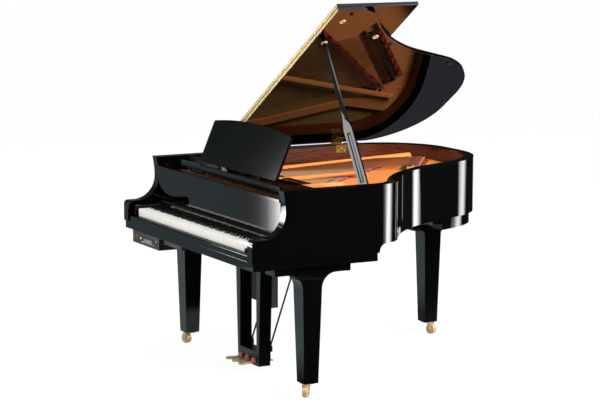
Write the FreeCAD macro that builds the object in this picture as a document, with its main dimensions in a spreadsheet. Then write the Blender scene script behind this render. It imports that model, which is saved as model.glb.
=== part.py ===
"""Grand piano with its lid on the long prop, as a parametric document of separate pieces.

Lengths are millimetres. X runs to the treble, Y from the keyboard to the tail, Z up from the floor.
Places are measured from the middle of the arms' front plane, and the whole piano is then moved forward
by half its length, so that the origin lies on the floor under its middle.
"""
import FreeCAD
import Part
import math
import os
import re
import Sketcher
from types import SimpleNamespace
from FreeCAD import Vector

SIZES = {
    # case outline in plan, and its heights
    "case_width": 1490, "case_length": 1706, "rim_top": 990, "rim_wall": 52, "treble_corner_y": 762,
    "treble_corner_radius": 162, "waist_x": "=case_width / 2 - 356", "waist_y": "=treble_corner_y + 218",
    "waist_radius": 940, "tail_corner_x": "=case_width / 2 - 670",
    "tail_right_radius": "=case_width * 0.3", "tail_left_radius": "=case_width / 2 - 371",
    "arm_bottom": 667, "rim_bottom": 710, "rim_step_y": 670, "rim_step_radius": 37, "arm_nose_top": 771,
    "arm_nose_radius": 20, "arm_sweep_y": 55, "arm_sweep_radius": 118, "arm_throat": 12, "seat_gap": 0.3,
    "inner_rim_wall": 55, "rim_foot_inset": 20, "rim_foot_drop": 60,
    "rim_foot_front": "=case_length - 376",
    # keybed and what stands on it
    "keybed_thickness": 39, "keybed_front": 7, "keybed_back": 660, "keybed_inset": 3,
    "slip_thickness": 18, "slip_height": 33, "block_back": 168, "block_height": 88,
    # fallboard
    "fallboard_front": 172, "fallboard_thickness": 18, "fallboard_bottom": 772, "fallboard_top": 945,
    "fallboard_lip": 7, "fallboard_lip_height": 14, "fallboard_pivot_z": 786, "fallboard_pin_radius": 4,
    "side_gap": 1.5,
    # music shelf and desk
    "shelf_front": 235, "shelf_bar_depth": 18, "shelf_bar_height": 29,
    "shelf_bar_half": "=case_width / 2 - 185", "shelf_bottom": 955, "shelf_board": 6,
    "shelf_half": "=case_width / 2 - 63", "shelf_back": 440, "rail_width": 45, "rail_height": 15,
    "rail_back": 560, "rail_front": 200, "desk_half": "=case_width / 2 - 323", "desk_height": 239,
    "desk_rise": 28, "desk_thickness": 14, "desk_lean": 22.8, "desk_axis_y": 291, "desk_axis_height": 6,
    "desk_axis_offset": 5, "desk_foot": 20, "desk_lug_x": 200, "desk_lug_width": 18, "desk_lug_gap": 1,
    "desk_lug_wall": 1.5, "desk_pin_radius": 2, "stay_length": 70, "stay_width": 40, "stay_thickness": 5,
    "stay_lug_width": 8, "stay_pin_radius": 1.5,
    # soundboard, bridges, plate and strings
    "belly_front": 480, "belly_depth": 25, "soundboard_bottom": 880, "soundboard_thickness": 8,
    "rib_width": 25, "rib_height": 22, "beam_width": 90, "left_beam_x": "=265 - case_width / 2",
    "middle_beam_x": -150, "right_beam_x": "=case_width / 2 - 565", "right_beam_tail_x": -120,
    "beam_bottom": "=rim_bottom - rim_foot_drop", "beam_height": 90, "pin_block_front": 236,
    "pin_block_back": 440, "pin_block_height": 36, "plate_top": 920, "plate_thickness": 12,
    "plate_front": 228, "plate_lip": 53, "skirt_width": 30, "capo_y": 446, "capo_width": 8,
    "treble_string_z": 930, "bass_capo_z": 936, "bass_bridge_z": 944,
    "treble_left": "=510 - case_width / 2", "treble_right": "=case_width / 2 - 145",
    "bass_left": "=135 - case_width / 2", "bass_right": "=455 - case_width / 2", "treble_lean": 0.22,
    "bass_lean": 0.2, "top_string": 52, "string_growth": 1.055, "longest_treble": "=case_length - 706",
    "longest_bass": "=case_length - 621", "shortest_bass": 885, "hitch_length": 70, "bridge_flat": 38,
    "coil_rise": 4, "treble_wire": 1.2, "bass_wire": 3.6, "bridge_width": 30, "pin_width": 6.5,
    "pin_height": 28, "pin_row": 45, "pin_front_y": 300, "strut_width": 20, "strut_height": 18,
    "strut_lift": 14, "middle_strut_x": 61, "middle_strut_lean": -0.05,
    "right_strut_x": "=case_width / 2 - 405", "strut_landing": 60, "bass_window": 120, "bar_front": 800,
    "bar_back": "=case_length - 406", "bar_front_inset": 120, "bar_back_inset": 220, "bar_width": 42,
    "horn_inset": 133, "horn_back": 161, "damper_y": 492, "damper_length": 40, "damper_width": 9,
    "damper_height": 22, "damper_room": 4,
    # keys and action
    "key_span": "=case_width - 264", "key_gap": 1.0, "key_front": 28, "key_head": 50, "key_back": 470,
    "key_top": 740, "key_thickness": 22, "sharp_rise": 12, "sharp_front": 80, "sharp_back": 168,
    "sharp_cap_width": 10, "sharp_bevel": 6, "sharp_shoulder": 0.5, "balance_y": 230, "balance_ridge": 6,
    "rail_depth": 44, "frame_thickness": 14, "front_rail_inset": 10, "balance_step": 4,
    "bracket_inset": 4, "key_dip": 2.8, "frame_side": "=case_width / 2 - 113", "frame_end": 14,
    "action_rail_y": 330, "action_rail_z": 800, "action_rail_section": 24, "hammer_y": 462,
    "hammer_top": 874, "hammer_width": 9, "hammer_head": 16, "shank_half": 3, "hammer_tail": 14,
    "hammer_nose": 12,
    # lid, flap, hinges and props
    "lid_thickness": 18, "lid_gap": 7, "lid_overhang": 12, "lid_front": 567, "lid_angle": 32.05,
    "lid_axis_out": 4, "flap_depth": 441, "flap_gap": 0.4, "flap_axis_out": 3.5, "hinge_front_y": 700,
    "hinge_back_y": "=case_length - 461", "hinge_length": 65, "hinge_leaf": 1.5, "hinge_drop": 42,
    "hinge_lid_reach": 60, "hinge_barrel": 3.5, "hinge_pin_radius": 1.6, "piano_barrel": 2.5,
    "piano_segments": 8, "piano_margin": 6, "piano_leaf_inset": 1, "prop_x": "=case_width / 2 - 90",
    "prop_y": 640, "prop_z": 952, "prop_cup_x": "=case_width - 310", "prop_cup_y": 636,
    "prop_stow_turn": 131, "prop_width": 44, "prop_thickness": 18, "prop_wide_length": 320,
    "prop_neck": 60, "prop_rod_width": 20, "prop_rod_thickness": 15, "prop_slot_width": 18,
    "prop_slot_start": 40, "prop_slot_margin": 20, "prop_heel": 14, "prop_tip_taper": 4,
    "prop_pin_radius": 4, "prop_gap": 0.5, "short_prop_width": 12, "short_prop_thickness": 10,
    "short_prop_heel": 7, "short_prop_margin": 5, "short_pin_rise": 12, "bracket_cheek": 5,
    "bracket_depth": 26, "bracket_foot": 5, "bracket_reach": 80, "cup_radius": 17, "cup_height": 5,
    "second_cup_run": "=case_width - 96", "second_cup_y": 637, "third_cup_run": "=case_width - 267",
    "third_cup_y": 900, "buffer_radius": 11, "buffer_height": 6.6, "buffer_front_y": 655,
    "waist_buffer_run": "=case_width - 352", "waist_buffer_y": 1024,
    "bent_buffer_run": "=case_width - 596", "bent_buffer_y": "=case_length - 218",
    "tail_buffer_run": "=case_width - 1040", "tail_buffer_y": "=case_length - 16",
    # legs and casters
    "leg_x": "=case_width / 2 - 83.5", "leg_y": 330, "rear_leg_x": "=425 - case_width / 2",
    "rear_leg_y": "=case_length - 137", "leg_foot": 65.5, "leg_top_width": 100, "leg_foot_width": 75,
    "leg_flare": 75, "leg_block_front": 197, "leg_block_back": 202, "leg_block_height": 38,
    "rear_block_front": 120, "rear_block_back": 130, "rear_block_height": 83, "rear_leg_flare": 25,
    "caster_plate_radius": 36, "caster_plate": 3, "caster_trail": 26, "wheel_radius": 27,
    "wheel_width": 24, "wheel_gap": 0.6, "fork_wall": 5, "fork_clearance": 3, "axle_radius": 4,
    "left_swivel": 196, "right_swivel": -45, "rear_swivel": 20,
    # lyre and pedals
    "lyre_front": 345, "lyre_depth": 65, "lyre_top_outer": 142, "lyre_top_inner": 88,
    "lyre_foot_outer": 114, "lyre_foot_inner": 92, "lyre_bottom": 28, "lyre_plate": 16,
    "lyre_plate_half": 160, "lyre_plate_margin": 15, "pedal_box_height": 70, "pedal_box_depth": 71,
    "pedal_spacing": 70, "pedal_tip_y": 258, "pedal_z": 50, "pedal_pivot_y": 386, "pedal_back_y": 442,
    "pedal_width": 24, "pedal_tip_width": 40, "pedal_thickness": 9, "pedal_throw": 8,
    "pedal_pin_radius": 3, "pedal_waist_y": 325, "rod_radius": 4, "rod_y": 430, "rod_top_gap": 9,
    "brace_radius": 4.5, "brace_x": 103, "brace_foot_z": 118, "brace_lug_height": 30,
    "brace_lug_drop": 22, "brace_back_y": 589,
    # player system: control unit under the keybed and the pedal drive behind the lyre
    "control_left": "=80 - case_width / 2", "control_right": "=control_left + 330", "control_front": 15,
    "control_depth": 110, "control_height": 64, "tray_right": "=control_right + 225", "tray_height": 30,
    "panel_thickness": 3, "screen_left": "=control_left + 147", "screen_right": "=screen_left + 105",
    "screen_height": 30, "screen_bottom": 574, "control_button_x": "=control_left + 105",
    "control_button_radius": 5, "control_button_height": 4, "button_tail": 6, "tray_setback": 20,
    "jack_x": "=control_left + 25", "jack_radius": 8, "jack_length": 5, "knob_x": "=control_left + 290",
    "knob_radius": 11, "drive_left": -95, "drive_right": 38, "drive_front": 440, "drive_depth": 52,
    "drive_bottom": 298,
}
NATURAL_KEYS = 52
TREBLE_NOTES = 68
BASS_NOTES = 20
STEEP_NOTES = 40

doc = FreeCAD.newDocument("grand_piano")
sheet = doc.addObject("Spreadsheet::Sheet", "sizes")
for row, (alias, amount) in enumerate(SIZES.items(), start=1):
    sheet.set(f"A{row}", alias)
    sheet.set(f"B{row}", str(amount))
    sheet.setAlias(f"B{row}", alias)
doc.recompute()
S = SimpleNamespace(**{alias: float(sheet.get(alias)) for alias in SIZES})
ALIAS = re.compile(r"\b(" + "|".join(sorted(SIZES, key=len, reverse=True)) + r")\b")
NODES = []


# Binding and placing pieces

def bind(item, path, formula):
    """Tie one property to the sheet; the formula names the sheet's cells."""
    item.setExpression(path, ALIAS.sub(r"sizes.\1", formula))


def place(item, x="0", y="0", z="0"):
    for letter, formula in zip("xyz", (x, y, z)):
        bind(item, f"Placement.Base.{letter}", formula)
    return item


def seat(item, label, x="0", y="0", z="0", turn=None):
    """Make an object a sub-part: name it and put it in the piano's frame."""
    item.Label = label
    place(item, x, f"{y} - case_length / 2", z)
    if turn:
        bind(item, "Placement.Rotation.Angle", turn)
    NODES.append(item)
    return item


def box(x0, x1, y0, y1, z0, z1):
    item = doc.addObject("Part::Box", "Box")
    bind(item, "Length", f"({x1}) - ({x0})")
    bind(item, "Width", f"({y1}) - ({y0})")
    bind(item, "Height", f"({z1}) - ({z0})")
    return place(item, x0, y0, z0)


def cylinder(radius, length, x, y, z, axis="Z"):
    """A cylinder whose middle of the first end is at x, y, z."""
    item = doc.addObject("Part::Cylinder", "Cylinder")
    bind(item, "Radius", radius)
    bind(item, "Height", length)
    turns = {"X": Vector(0, 1, 0), "Y": Vector(-1, 0, 0)}
    if axis in turns:
        item.Placement.Rotation = FreeCAD.Rotation(turns[axis], 90)
    return place(item, x, y, z)


def fuse(items):
    if len(items) == 1:
        return items[0]
    item = doc.addObject("Part::MultiFuse", "Fusion")
    item.Shapes = items
    return item


def group(items):
    """Separate solids that share one node."""
    item = doc.addObject("Part::Compound", "Group")
    item.Links = items
    return item


def cut(base, tools):
    item = doc.addObject("Part::Cut", "Cut")
    item.Base = base
    item.Tool = fuse(tools)
    return item


def feature(shape, label):
    """A piece whose outline is worked out here from the sheet's sizes."""
    item = doc.addObject("Part::Feature", label)
    item.Shape = Part.makeCompound(shape.Solids)
    return seat(item, label)


def padded(label, plane, corners, length, start="0"):
    """A body padded from a straight-sided sketch."""
    body = doc.addObject("PartDesign::Body", label)
    sketch = body.newObject("Sketcher::SketchObject", label + "_sketch")
    sketch.AttachmentSupport = [(origin_plane(body, plane), "")]
    sketch.MapMode = "FlatFace"
    bind(sketch, "AttachmentOffset.Base.z", start)
    draw_outline(sketch, corners)
    pad = body.newObject("PartDesign::Pad", label + "_pad")
    pad.Profile = sketch
    bind(pad, "Length", length)
    return body


def origin_plane(body, role):
    return next(f for f in body.Origin.OriginFeatures if f.Role == role)


def draw_outline(sketch, corners):
    """Draw a closed outline, each corner held at its own formulas for the two sketch axes."""
    count = len(corners)
    guess = [Vector(math.cos(2 * math.pi * i / count), math.sin(2 * math.pi * i / count), 0) * 100
             for i in range(count)]
    first, last = 1, 2
    for i in range(count):
        sketch.addGeometry(Part.LineSegment(guess[i], guess[(i + 1) % count]), False)
    for i in range(count):
        sketch.addConstraint(Sketcher.Constraint("Coincident", i, last, (i + 1) % count, first))
    for i, corner in enumerate(corners):
        for kind, formula in zip(("DistanceX", "DistanceY"), corner):
            number = sketch.addConstraint(Sketcher.Constraint(kind, -1, 1, i, first, 1.0))
            sketch.setExpression(f"Constraints[{number}]", ALIAS.sub(r"sizes.\1", formula))


# Plane geometry for the curved pieces

def prism(points, along):
    ring = [Vector(*p) for p in points]
    return Part.Face(Part.makePolygon(ring + ring[:1])).extrude(Vector(*along))


def rounded_path(corners):
    """Edges through corners (x, y, radius), each rounded by an arc; the ends have no radius."""
    points = [Vector(x, y, 0) for x, y, _ in corners]
    edges = []
    here = points[0]
    for i in range(1, len(points) - 1):
        into = (points[i] - points[i - 1]).normalize()
        out = (points[i + 1] - points[i]).normalize()
        half = into.getAngle(out) / 2
        reach = corners[i][2] * math.tan(half)
        begin = points[i] - into * reach
        end = points[i] + out * reach
        inward = (out - into).normalize()
        middle = points[i] + inward * corners[i][2] * (1 / math.cos(half) - 1)
        edges.append(Part.makeLine(here, begin))
        edges.append(Part.Arc(begin, middle, end).toShape())
        here = end
    edges.append(Part.makeLine(here, points[-1]))
    return edges


def case_corners(inset, front):
    """The case outline from its right front to its left front, moved inward by inset."""
    half = S.case_width / 2
    points = [Vector(half, 0, 0), Vector(half, S.treble_corner_y, 0), Vector(S.waist_x, S.waist_y, 0),
              Vector(S.tail_corner_x, S.case_length, 0), Vector(-half, S.case_length, 0),
              Vector(-half, 0, 0)]
    radii = [0, S.treble_corner_radius - inset, S.waist_radius + inset, S.tail_right_radius - inset,
             S.tail_left_radius - inset, 0]
    lines = []
    for a, b in zip(points, points[1:]):
        along = (b - a).normalize()
        lines.append((a + Vector(-along.y, along.x, 0) * inset, along))
    moved = [Vector(half - inset, front, 0)]
    for (p, u), (q, v) in zip(lines, lines[1:]):
        moved.append(p + u * ((q - p).cross(v).z / u.cross(v).z))
    moved.append(Vector(-half + inset, front, 0))
    return [(p.x, p.y, r) for p, r in zip(moved, radii)]


def case_face(inset, front):
    path = rounded_path(case_corners(inset, front))
    path.append(Part.makeLine(path[-1].Vertexes[-1].Point, path[0].Vertexes[0].Point))
    return Part.Face(Part.Wire(path))


def slab(face, bottom, top):
    moved = face.copy()
    moved.translate(Vector(0, 0, bottom))
    return moved.extrude(Vector(0, 0, top - bottom))


def rotated(shape, centre, axis, angle):
    turned = shape.copy()
    turned.rotate(centre, axis, angle)
    return turned


# Outer rim: a bent laminated wall with swept arms at the keyboard and a step up behind the keybed

def arm_profile():
    nose = S.arm_nose_radius
    sweep_top = S.arm_nose_top + S.arm_sweep_radius
    back = S.arm_sweep_y + S.arm_sweep_radius
    top_y = back - S.arm_throat
    throat_rise = S.rim_top - sweep_top
    bend = (S.arm_throat ** 2 + throat_rise ** 2) / (2 * S.arm_throat)
    step = S.rim_bottom - S.arm_bottom
    turn = min(S.rim_step_radius, step)
    slope = math.sqrt(0.5)

    def at(y, z):
        return Vector(0, y, z)

    def arc(a, b, c):
        return Part.Arc(at(*a), at(*b), at(*c)).toShape()

    def line(a, b):
        return Part.makeLine(at(*a), at(*b))

    throat_angle = math.asin(throat_rise / bend) / 2
    throat_middle = (back - bend * (1 - math.cos(throat_angle)), sweep_top + bend * math.sin(throat_angle))
    nose_low = (0, S.arm_nose_top - nose)
    nose_middle = (nose * (1 - slope), S.arm_nose_top - nose * (1 - slope))
    sweep_middle = (S.arm_sweep_y + S.arm_sweep_radius * slope, sweep_top - S.arm_sweep_radius * slope)
    step_middle = (S.rim_step_y + turn * (1 - slope), S.rim_bottom - turn * (1 - slope))
    step_foot = (S.rim_step_y, S.rim_bottom - turn)
    far = S.case_length + S.rim_wall
    edges = [
        line((0, S.arm_bottom), nose_low),
        arc(nose_low, nose_middle, (nose, S.arm_nose_top)),
        line((nose, S.arm_nose_top), (S.arm_sweep_y, S.arm_nose_top)),
        arc((S.arm_sweep_y, S.arm_nose_top), sweep_middle, (back, sweep_top)),
        arc((back, sweep_top), throat_middle, (top_y, S.rim_top)),
        line((top_y, S.rim_top), (far, S.rim_top)),
        line((far, S.rim_top), (far, S.rim_bottom)),
        line((far, S.rim_bottom), (S.rim_step_y + turn, S.rim_bottom)),
        arc((S.rim_step_y + turn, S.rim_bottom), step_middle, step_foot),
    ]
    if step > turn:
        edges.append(line(step_foot, (S.rim_step_y, S.arm_bottom)))
    edges.append(line((S.rim_step_y, S.arm_bottom), (0, S.arm_bottom)))
    return Part.Face(Part.Wire(edges))


def rim_ring(outer, inner, front):
    return case_face(outer, front).cut(case_face(inner, front))


across = arm_profile().extrude(Vector(2 * S.case_width, 0, 0))
across.translate(Vector(-S.case_width, 0, 0))
feature(slab(rim_ring(0, S.rim_wall, 0), S.arm_bottom, S.rim_top).common(across), "outer_rim")

# Inner rim: a second, lower wall glued inside the first, which carries the soundboard and the plate
belly_back = S.belly_front + S.belly_depth
inside = S.rim_wall + S.seat_gap
rim_back = inside + S.inner_rim_wall
foot_low = S.rim_bottom - S.rim_foot_drop
inner_rim_shape = slab(rim_ring(inside, rim_back, belly_back), S.rim_bottom, S.soundboard_bottom)
tail_foot = slab(rim_ring(S.rim_foot_inset, rim_back, belly_back), foot_low, S.rim_bottom - S.seat_gap)
tail_core = slab(rim_ring(inside, rim_back, belly_back), foot_low, S.soundboard_bottom)
tail_room = Part.makeBox(2 * S.case_width, S.case_length, S.rim_top, Vector(-S.case_width, S.rim_foot_front, 0))
lower_tail = tail_foot.fuse(tail_core).common(tail_room)
feature(inner_rim_shape.fuse(lower_tail).removeSplitter(), "inner_rim")

# Belly rail and the beams that brace the inner rim
beam_top = S.beam_bottom + S.beam_height
belly_half = S.case_width / 2 - inside
belly_rail = Part.makeBox(2 * belly_half, S.belly_depth, S.soundboard_bottom - S.arm_bottom,
                          Vector(-belly_half, S.belly_front, S.arm_bottom))
beam_space = slab(case_face(rim_back, belly_back), S.beam_bottom, beam_top)
keybed_room = Part.makeBox(2 * S.case_width, S.keybed_back + S.seat_gap, S.arm_bottom + S.seat_gap,
                           Vector(-S.case_width, 0, 0))
beams = []
for start_x, end_x in ((S.left_beam_x, S.left_beam_x), (S.middle_beam_x, S.rear_leg_x),
                       (S.right_beam_x, S.right_beam_tail_x)):
    near = Vector(start_x, belly_back, 0)
    far = Vector(end_x, S.case_length, 0)
    side = Vector(0, 0, 1).cross((far - near).normalize()) * (S.beam_width / 2)
    corners = [near - side, near + side, far + side, far - side]
    plank = prism([(p.x, p.y, S.beam_bottom) for p in corners], (0, 0, S.beam_height))
    plank = plank.common(beam_space).cut(keybed_room)
    for other in beams:
        plank = plank.cut(other)
    beams.append(plank)
feature(Part.makeCompound([belly_rail] + beams), "support_beams")

# Keybed, the slip in front of the keys and the blocks at their ends
KEYBED_BOTTOM = "(arm_bottom - keybed_thickness)"
INNER_HALF = "(case_width / 2 - rim_wall - seat_gap)"
BED_HALF = "(case_width / 2 - keybed_inset)"
seat(padded("keybed", "XY_Plane",
            [(f"-{BED_HALF}", "keybed_front"), (BED_HALF, "keybed_front"),
             (BED_HALF, "keybed_back"), (f"-{BED_HALF}", "keybed_back")],
            "keybed_thickness", KEYBED_BOTTOM), "keybed")
SLIP_BACK = "keybed_front + slip_thickness"
SLIP_TOP = "arm_bottom + slip_height"
seat(padded("key_slip", "YZ_Plane",
            [("keybed_front", "arm_bottom"), (SLIP_BACK, "arm_bottom"), (SLIP_BACK, SLIP_TOP),
             ("keybed_front + slip_thickness / 3", SLIP_TOP),
             ("keybed_front", f"{SLIP_TOP} - slip_thickness / 3")],
            f"2 * {INNER_HALF}", f"-{INNER_HALF}"), "key_slip")
BLOCK_INNER = "(frame_side + frame_end + 4 * side_gap)"
BLOCK_TOP = "arm_bottom + block_height"
block_parts = []
for low, high in ((f"-{INNER_HALF}", f"-{BLOCK_INNER}"), (BLOCK_INNER, INNER_HALF)):
    block_parts.append(box(low, high, f"{SLIP_BACK} + seat_gap", "block_back", "arm_bottom", BLOCK_TOP))
seat(group(block_parts), "key_blocks")

# Fallboard: the key lid, standing open, with a lip along its top and a pivot pin at each end
FALL_BACK = "fallboard_front + fallboard_thickness"
FALL_HALF = f"({INNER_HALF} - side_gap)"
fall_board = padded("fallboard_board", "YZ_Plane",
                    [("fallboard_front", "fallboard_bottom"), (FALL_BACK, "fallboard_bottom"),
                     (FALL_BACK, "fallboard_top"), ("fallboard_front - fallboard_lip", "fallboard_top"),
                     ("fallboard_front - fallboard_lip", "fallboard_top - fallboard_lip_height"),
                     ("fallboard_front", "fallboard_top - fallboard_lip_height")],
                    f"2 * {FALL_HALF}", f"-{FALL_HALF}")
fall_pin = cylinder("fallboard_pin_radius", f"2 * {INNER_HALF}", f"-{INNER_HALF}",
                    "fallboard_front + fallboard_thickness / 2", "fallboard_pivot_z", "X")
seat(fuse([fall_board, fall_pin]), "fallboard")

# Shelf rails on the case sides, and the music shelf that slides on them
rail_parts = []
RAIL_INNER = f"({INNER_HALF} - rail_width)"
for low, high in ((f"-{INNER_HALF}", f"-{RAIL_INNER}"), (RAIL_INNER, INNER_HALF)):
    rail_parts.append(box(low, high, "rail_front", "rail_back", "shelf_bottom - rail_height", "shelf_bottom"))
seat(group(rail_parts), "shelf_rails")

SHELF_TOP = "(shelf_bottom + shelf_board)"
BAR_BACK = "(shelf_front + shelf_bar_depth)"
DESK_AXIS_Z = f"({SHELF_TOP} + desk_axis_height)"
LUG_HALF = "desk_lug_width / 2"
LUG_REACH = "(desk_pin_radius + desk_lug_wall)"
shelf_board = box("-shelf_half", "shelf_half", BAR_BACK, "shelf_back", "shelf_bottom", SHELF_TOP)
shelf_bar = box("-shelf_bar_half", "shelf_bar_half", "shelf_front", BAR_BACK, "shelf_bottom",
                "shelf_bottom + shelf_bar_height")
shelf_parts = [shelf_board, shelf_bar]
for sign in ("-", ""):
    middle = f"{sign}desk_lug_x"
    shelf_parts.append(box(f"{middle} - {LUG_HALF}", f"{middle} + {LUG_HALF}",
                           f"desk_axis_y - {LUG_REACH}", f"desk_axis_y + {LUG_REACH}",
                           SHELF_TOP, f"{DESK_AXIS_Z} + {LUG_REACH}"))
    shelf_parts.append(cylinder("desk_pin_radius", "3 * desk_lug_width", f"{middle} - 1.5 * desk_lug_width",
                                "desk_axis_y", DESK_AXIS_Z, "X"))
seat(fuse(shelf_parts), "music_shelf")

# Music desk: a leaning board with an arched top, hung on pins near its foot, and its stay
# In the desk's own plane X is across and Y up the board, with the pivot line at the origin.
foot_left = Vector(-S.desk_half, S.desk_foot, S.desk_axis_offset)
foot_right = Vector(S.desk_half, S.desk_foot, S.desk_axis_offset)
top_left = Vector(-S.desk_half, S.desk_height, S.desk_axis_offset)
top_right = Vector(S.desk_half, S.desk_height, S.desk_axis_offset)
crown = Vector(0, S.desk_height + S.desk_rise, S.desk_axis_offset)
board_edges = [Part.makeLine(foot_left, foot_right), Part.makeLine(foot_right, top_right),
               Part.Arc(top_right, crown, top_left).toShape(), Part.makeLine(top_left, foot_left)]
board = doc.addObject("Part::Feature", "desk_board")
board.Shape = Part.Face(Part.Wire(board_edges)).extrude(Vector(0, 0, S.desk_thickness))
desk_parts = [board]
pivot_holes = []
for sign in ("-", ""):
    middle = f"{sign}(desk_lug_x + desk_lug_width + desk_lug_gap)"
    desk_parts.append(box(f"{middle} - {LUG_HALF}", f"{middle} + {LUG_HALF}", f"-{LUG_REACH}",
                          f"desk_foot + 2 * {LUG_REACH}", f"-{LUG_REACH}", "desk_axis_offset"))
    stay_side = f"{sign}(stay_width + stay_lug_width + 2 * desk_lug_gap) / 2"
    desk_parts.append(box(f"{stay_side} - stay_lug_width / 2", f"{stay_side} + stay_lug_width / 2",
                          f"stay_length - {LUG_REACH}", f"stay_length + {LUG_REACH}", "-stay_thickness / 2",
                          "desk_axis_offset"))
    pivot_holes.append(cylinder("desk_pin_radius + seat_gap", "desk_lug_width",
                                f"{middle} - {LUG_HALF}", "0", "0", "X"))
desk_parts.append(cylinder("stay_pin_radius", "stay_width + 2 * stay_lug_width",
                           "-stay_width / 2 - stay_lug_width", "stay_length", "0", "X"))
desk = cut(fuse(desk_parts), pivot_holes)
desk.Placement.Rotation = FreeCAD.Rotation(Vector(1, 0, 0), 90 - S.desk_lean)
seat(desk, "music_desk", "0", "desk_axis_y", DESK_AXIS_Z)

STAY_DROP = "(desk_axis_height - seat_gap - stay_thickness / 2 * sin(desk_lean * 1 deg))"
STAY_REACH = f"stay_length + {STAY_DROP} / cos(desk_lean * 1 deg)"
stay_bar = box("-stay_width / 2", "stay_width / 2", f"-{LUG_REACH}", STAY_REACH,
               "-stay_thickness / 2", "stay_thickness / 2")
stay_hole = cylinder("stay_pin_radius + seat_gap", "stay_width", "-stay_width / 2", "0", "0", "X")
stay = cut(stay_bar, [stay_hole])
stay.Placement.Rotation = FreeCAD.Rotation(Vector(1, 0, 0), -(90 - S.desk_lean))
STAY_Y = "desk_axis_y + stay_length * sin(desk_lean * 1 deg)"
STAY_Z = f"{DESK_AXIS_Z} + stay_length * cos(desk_lean * 1 deg)"
seat(stay, "desk_stay", "0", STAY_Y, STAY_Z)

# Soundboard with its ribs
soundboard_top = S.soundboard_bottom + S.soundboard_thickness
panel = slab(case_face(inside, S.belly_front), S.soundboard_bottom, soundboard_top)
rib_space = slab(case_face(inside + S.inner_rim_wall + S.seat_gap, belly_back + S.seat_gap),
                 S.soundboard_bottom - S.rib_height, S.soundboard_bottom)
ribs = []
rib_count = 9
rib_run = S.case_length - belly_back - S.rim_wall - S.inner_rim_wall
for i in range(rib_count):
    y = belly_back + rib_run * (i + 0.5) / rib_count
    strip = Part.makeBox(2 * S.case_width, S.rib_width, S.rib_height,
                         Vector(-S.case_width, y, S.soundboard_bottom - S.rib_height))
    ribs.append(strip.common(rib_space))
feature(Part.makeCompound([panel] + ribs), "soundboard")


# String layout: a note's string runs straight in plan from its tuning pin to its hitch point

def treble_note(n):
    """Note n counted from the top; its capo x and speaking length."""
    x = S.treble_right - (S.treble_right - S.treble_left) * n / (TREBLE_NOTES - 1)
    steep = S.top_string * S.string_growth ** min(n, STEEP_NOTES)
    last = S.top_string * S.string_growth ** STEEP_NOTES
    rest = (S.longest_treble - last) * max(0, n - STEEP_NOTES) / (TREBLE_NOTES - 1 - STEEP_NOTES)
    return x, steep + rest


def bass_note(n):
    """Note n counted from the lowest."""
    share = n / (BASS_NOTES - 1)
    x = S.bass_left + (S.bass_right - S.bass_left) * share
    return x, S.longest_bass + (S.shortest_bass - S.longest_bass) * share


def string_line(note, lean, beyond=0):
    """The point of a string past its capo by its speaking length and a little more."""
    x, length = note
    return Vector(x + lean * (length + beyond), S.capo_y + length + beyond, 0)


TREBLE = [treble_note(n) for n in range(TREBLE_NOTES)]
BASS = [bass_note(n) for n in range(BASS_NOTES)]
TREBLE_LEAN = -S.treble_lean
BASS_LEAN = S.bass_lean


def pin_place(i, note, lean):
    y = S.pin_front_y + S.pin_row * (i % 3)
    return Vector(note[0] + lean * (y - S.capo_y), y, 0)


def string_solid(i, note, lean, wire, capo_z, bridge_z, room=0):
    """A string as a square wire, or the room that it needs through a strut."""
    pin = pin_place(i, note, lean)
    begin = pin + Vector(lean, 1, 0) * (S.pin_width / 2 + 3 * S.seat_gap)
    capo = Vector(note[0], S.capo_y, 0)
    before_bridge = string_line(note, lean, -S.bridge_flat)
    after_bridge = string_line(note, lean, S.bridge_flat)
    hitch = string_line(note, lean, S.hitch_length)
    across_wire = Vector(1, -lean, 0).normalize() * (wire + 2 * room)
    heights = [(begin, capo_z + S.coil_rise), (capo, capo_z), (before_bridge, bridge_z),
               (after_bridge, bridge_z), (hitch, S.plate_top + S.seat_gap + wire / 2)]
    ring = [p + Vector(0, 0, z - wire / 2 - room) for p, z in heights]
    ring += [p + Vector(0, 0, z + wire / 2 + room) for p, z in reversed(heights)]
    return prism([p - across_wire / 2 for p in ring], across_wire)


def strings(room=0):
    treble = [string_solid(i, note, TREBLE_LEAN, S.treble_wire, S.treble_string_z, S.treble_string_z, room)
              for i, note in enumerate(TREBLE)]
    bass = [string_solid(i, note, BASS_LEAN, S.bass_wire, S.bass_capo_z, S.bass_bridge_z, room)
            for i, note in enumerate(BASS)]
    return treble, bass


treble_wires, bass_wires = strings()
feature(Part.makeCompound(treble_wires), "treble_strings")
feature(Part.makeCompound(bass_wires), "bass_strings")


# Bridges: curved ribs of maple that carry the strings' load to the soundboard

def ribbon(points, width, bottom, top):
    """An upright wall along points, as wide as asked across its local direction."""
    left, right = [], []
    for i, p in enumerate(points):
        ahead = points[min(i + 1, len(points) - 1)]
        behind = points[max(i - 1, 0)]
        along = (ahead - behind).normalize()
        side = Vector(-along.y, along.x, 0) * (width / 2)
        left.append(p + side)
        right.append(p - side)
    return prism([(p.x, p.y, bottom) for p in left + right[::-1]], (0, 0, top - bottom))


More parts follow.
